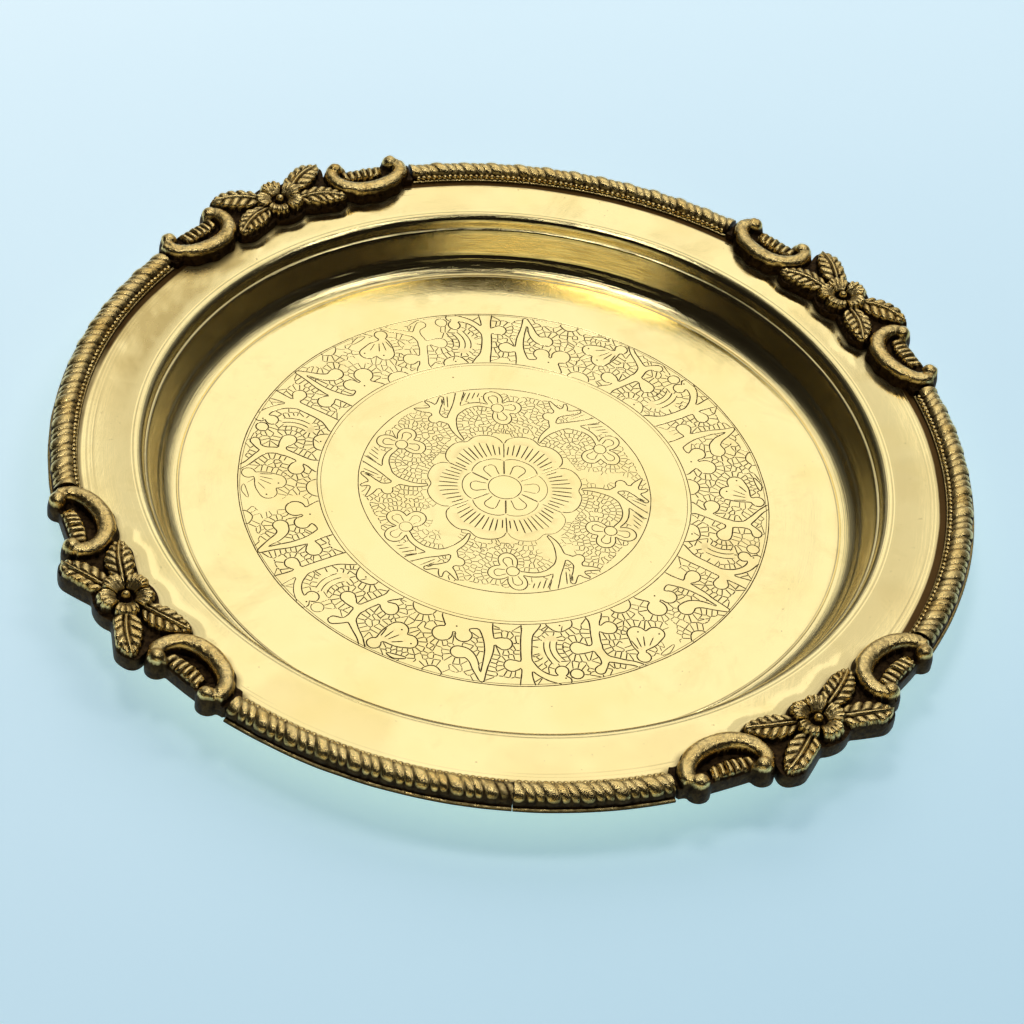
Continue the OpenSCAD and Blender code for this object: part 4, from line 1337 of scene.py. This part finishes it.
    # which way the bottom triangles face
    ang = az + Ua_ / 131.0
    R = 131.0 + Va_
    X = np.stack([R * np.cos(ang), R * np.sin(ang), RIM_Z + Za_], -1)
    t0 = X[ft]
    nz = np.cross(t0[:, 1] - t0[:, 0], t0[:, 2] - t0[:, 0])[:, 2]
    ft = np.where((nz > 0)[:, None], ft[:, ::-1], ft)
    t0 = X[Qm]
    nz = np.cross(t0[:, 1] - t0[:, 0], t0[:, 2] - t0[:, 0])[:, 2].mean()
    if nz < 0:
        Qm = Qm[:, ::-1]; sides = [s[:, ::-1] for s in sides]
    S = np.concatenate(sides)[:, ::-1]
    ob = new_mesh(name + "_cast", X, [Qm, S, ft], {"patina_and_shade": Ca_}, [MAT_CAST], sharp=75)
    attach(ob, "root"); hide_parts(name)
    return ob


pan = make_pan()
for i, g in enumerate(SPAN):
    make_gadroon(g, 101 + 7 * i)
for i, c in enumerate(AZ):
    make_cartouche(c, 40 + 3 * i)

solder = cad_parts["rim_solder"]
solder.data.materials.clear()
solder.data.materials.append(MAT_SOLDER)

# ---------------------------------------------------------------- floor, light, camera
me = bpy.data.meshes.new("table")
W = 6.0
me.from_pydata([(-W, -W, 0), (W, -W, 0), (W, W, 0), (-W, W, 0)], [], [(0, 1, 2, 3)])
me.materials.append(MAT_FLOOR)
table = bpy.data.objects.new("table", me)
bpy.context.scene.collection.objects.link(table)


def area(name, loc, target, sx, sy, radiance, color=(1, 1, 1)):
    L = bpy.data.lights.new(name, "AREA")
    L.shape = "RECTANGLE"; L.size = sx; L.size_y = sy
    L.energy = radiance * math.pi * sx * sy
    L.color = color
    o = bpy.data.objects.new(name, L)
    o.location = loc
    d = Vector(target) - Vector(loc)
    o.rotation_euler = d.to_track_quat("-Z", "Y").to_euler()
    bpy.context.scene.collection.objects.link(o)
    return o


area("back_softbox", (-0.02, 0.98, 1.02), (0, 0, 0), 1.40, 1.00, 0.55, (1.0, 0.965, 0.88))
area("back_centre", (-0.06, 0.975, 1.015), (0, 0, 0), 0.58, 0.94, 0.37, (1.0, 0.99, 0.97))
area("overhead", (-0.22, 0.02, 1.45), (0, 0, 0), 0.34, 0.34, 6.0)
area("top_right", (0.60, 0.14, 1.28), (0, 0, 0), 0.24, 0.46, 4.0)
area("low_front", (0.0, -1.75, 0.42), (0, 0, 0), 2.2, 0.45, 0.95, (1.0, 0.90, 0.55))

world = bpy.data.worlds.new("studio")
bpy.context.scene.world = world
world.use_nodes = True
wt = world.node_tree
bg = wt.nodes["Background"]
wco = wt.nodes.new("ShaderNodeTexCoord").outputs["Generated"]
sep = wt.nodes.new("ShaderNodeSeparateXYZ")
wt.links.new(wco, sep.inputs[0])
# a light ceiling behind and overhead, dark low down and on the camera's side
up = mathn(wt, "ADD", mathn(wt, "MULTIPLY", sep.outputs["Y"], 0.85), mathn(wt, "MULTIPLY", sep.outputs["Z"], 0.5))
wcol = ramp(wt, maprange(wt, up, -0.6, 1.0, 0.0, 1.0), [(0.30, (0.010, 0.009, 0.008)), (0.60, (0.020, 0.019, 0.018)), (0.74, (0.045, 0.045, 0.045)), (0.90, (0.24, 0.24, 0.24))])
wt.links.new(wcol, bg.inputs[0])
bg.inputs[1].default_value = 1.0

# camera: the viewing angle of the photograph
F_PX, EL, ROLL, TX, TY, DIST = 2700.0, math.radians(44.01), math.radians(7.924), -7.006, -24.795, 811.37
ce, se, cr, sr = math.cos(EL), math.sin(EL), math.cos(ROLL), math.sin(ROLL)
RX = Vector((cr, sr * se, sr * ce)); RY = Vector((sr, -cr * se, -cr * ce)); RZ = Vector((0, ce, -se))
tt = Vector((TX * DIST / F_PX, TY * DIST / F_PX, DIST))
centre = -(RX * tt[0] + RY * tt[1] + RZ * tt[2])
turn = Matrix.Rotation(math.radians(2.9), 3, "Z")
loc = turn @ (centre - Vector((1.9, -0.2, 0))) + Vector((0, 0, SHEET))
cx, cy, cz = turn @ RX, -(turn @ RY), -(turn @ RZ)
cam_d = bpy.data.cameras.new("camera")
cam_d.sensor_width = 36.0
cam_d.lens = F_PX * 36.0 / 1024.0
cam_d.clip_start = 0.01; cam_d.clip_end = 50
cam = bpy.data.objects.new("camera", cam_d)
M = Matrix(((cx[0], cy[0], cz[0], loc[0] * MM), (cx[1], cy[1], cz[1], loc[1] * MM), (cx[2], cy[2], cz[2], loc[2] * MM), (0, 0, 0, 1)))
cam.matrix_world = M
bpy.context.scene.collection.objects.link(cam)
bpy.context.scene.camera = cam
bpy.context.scene.view_settings.view_transform = "Standard"
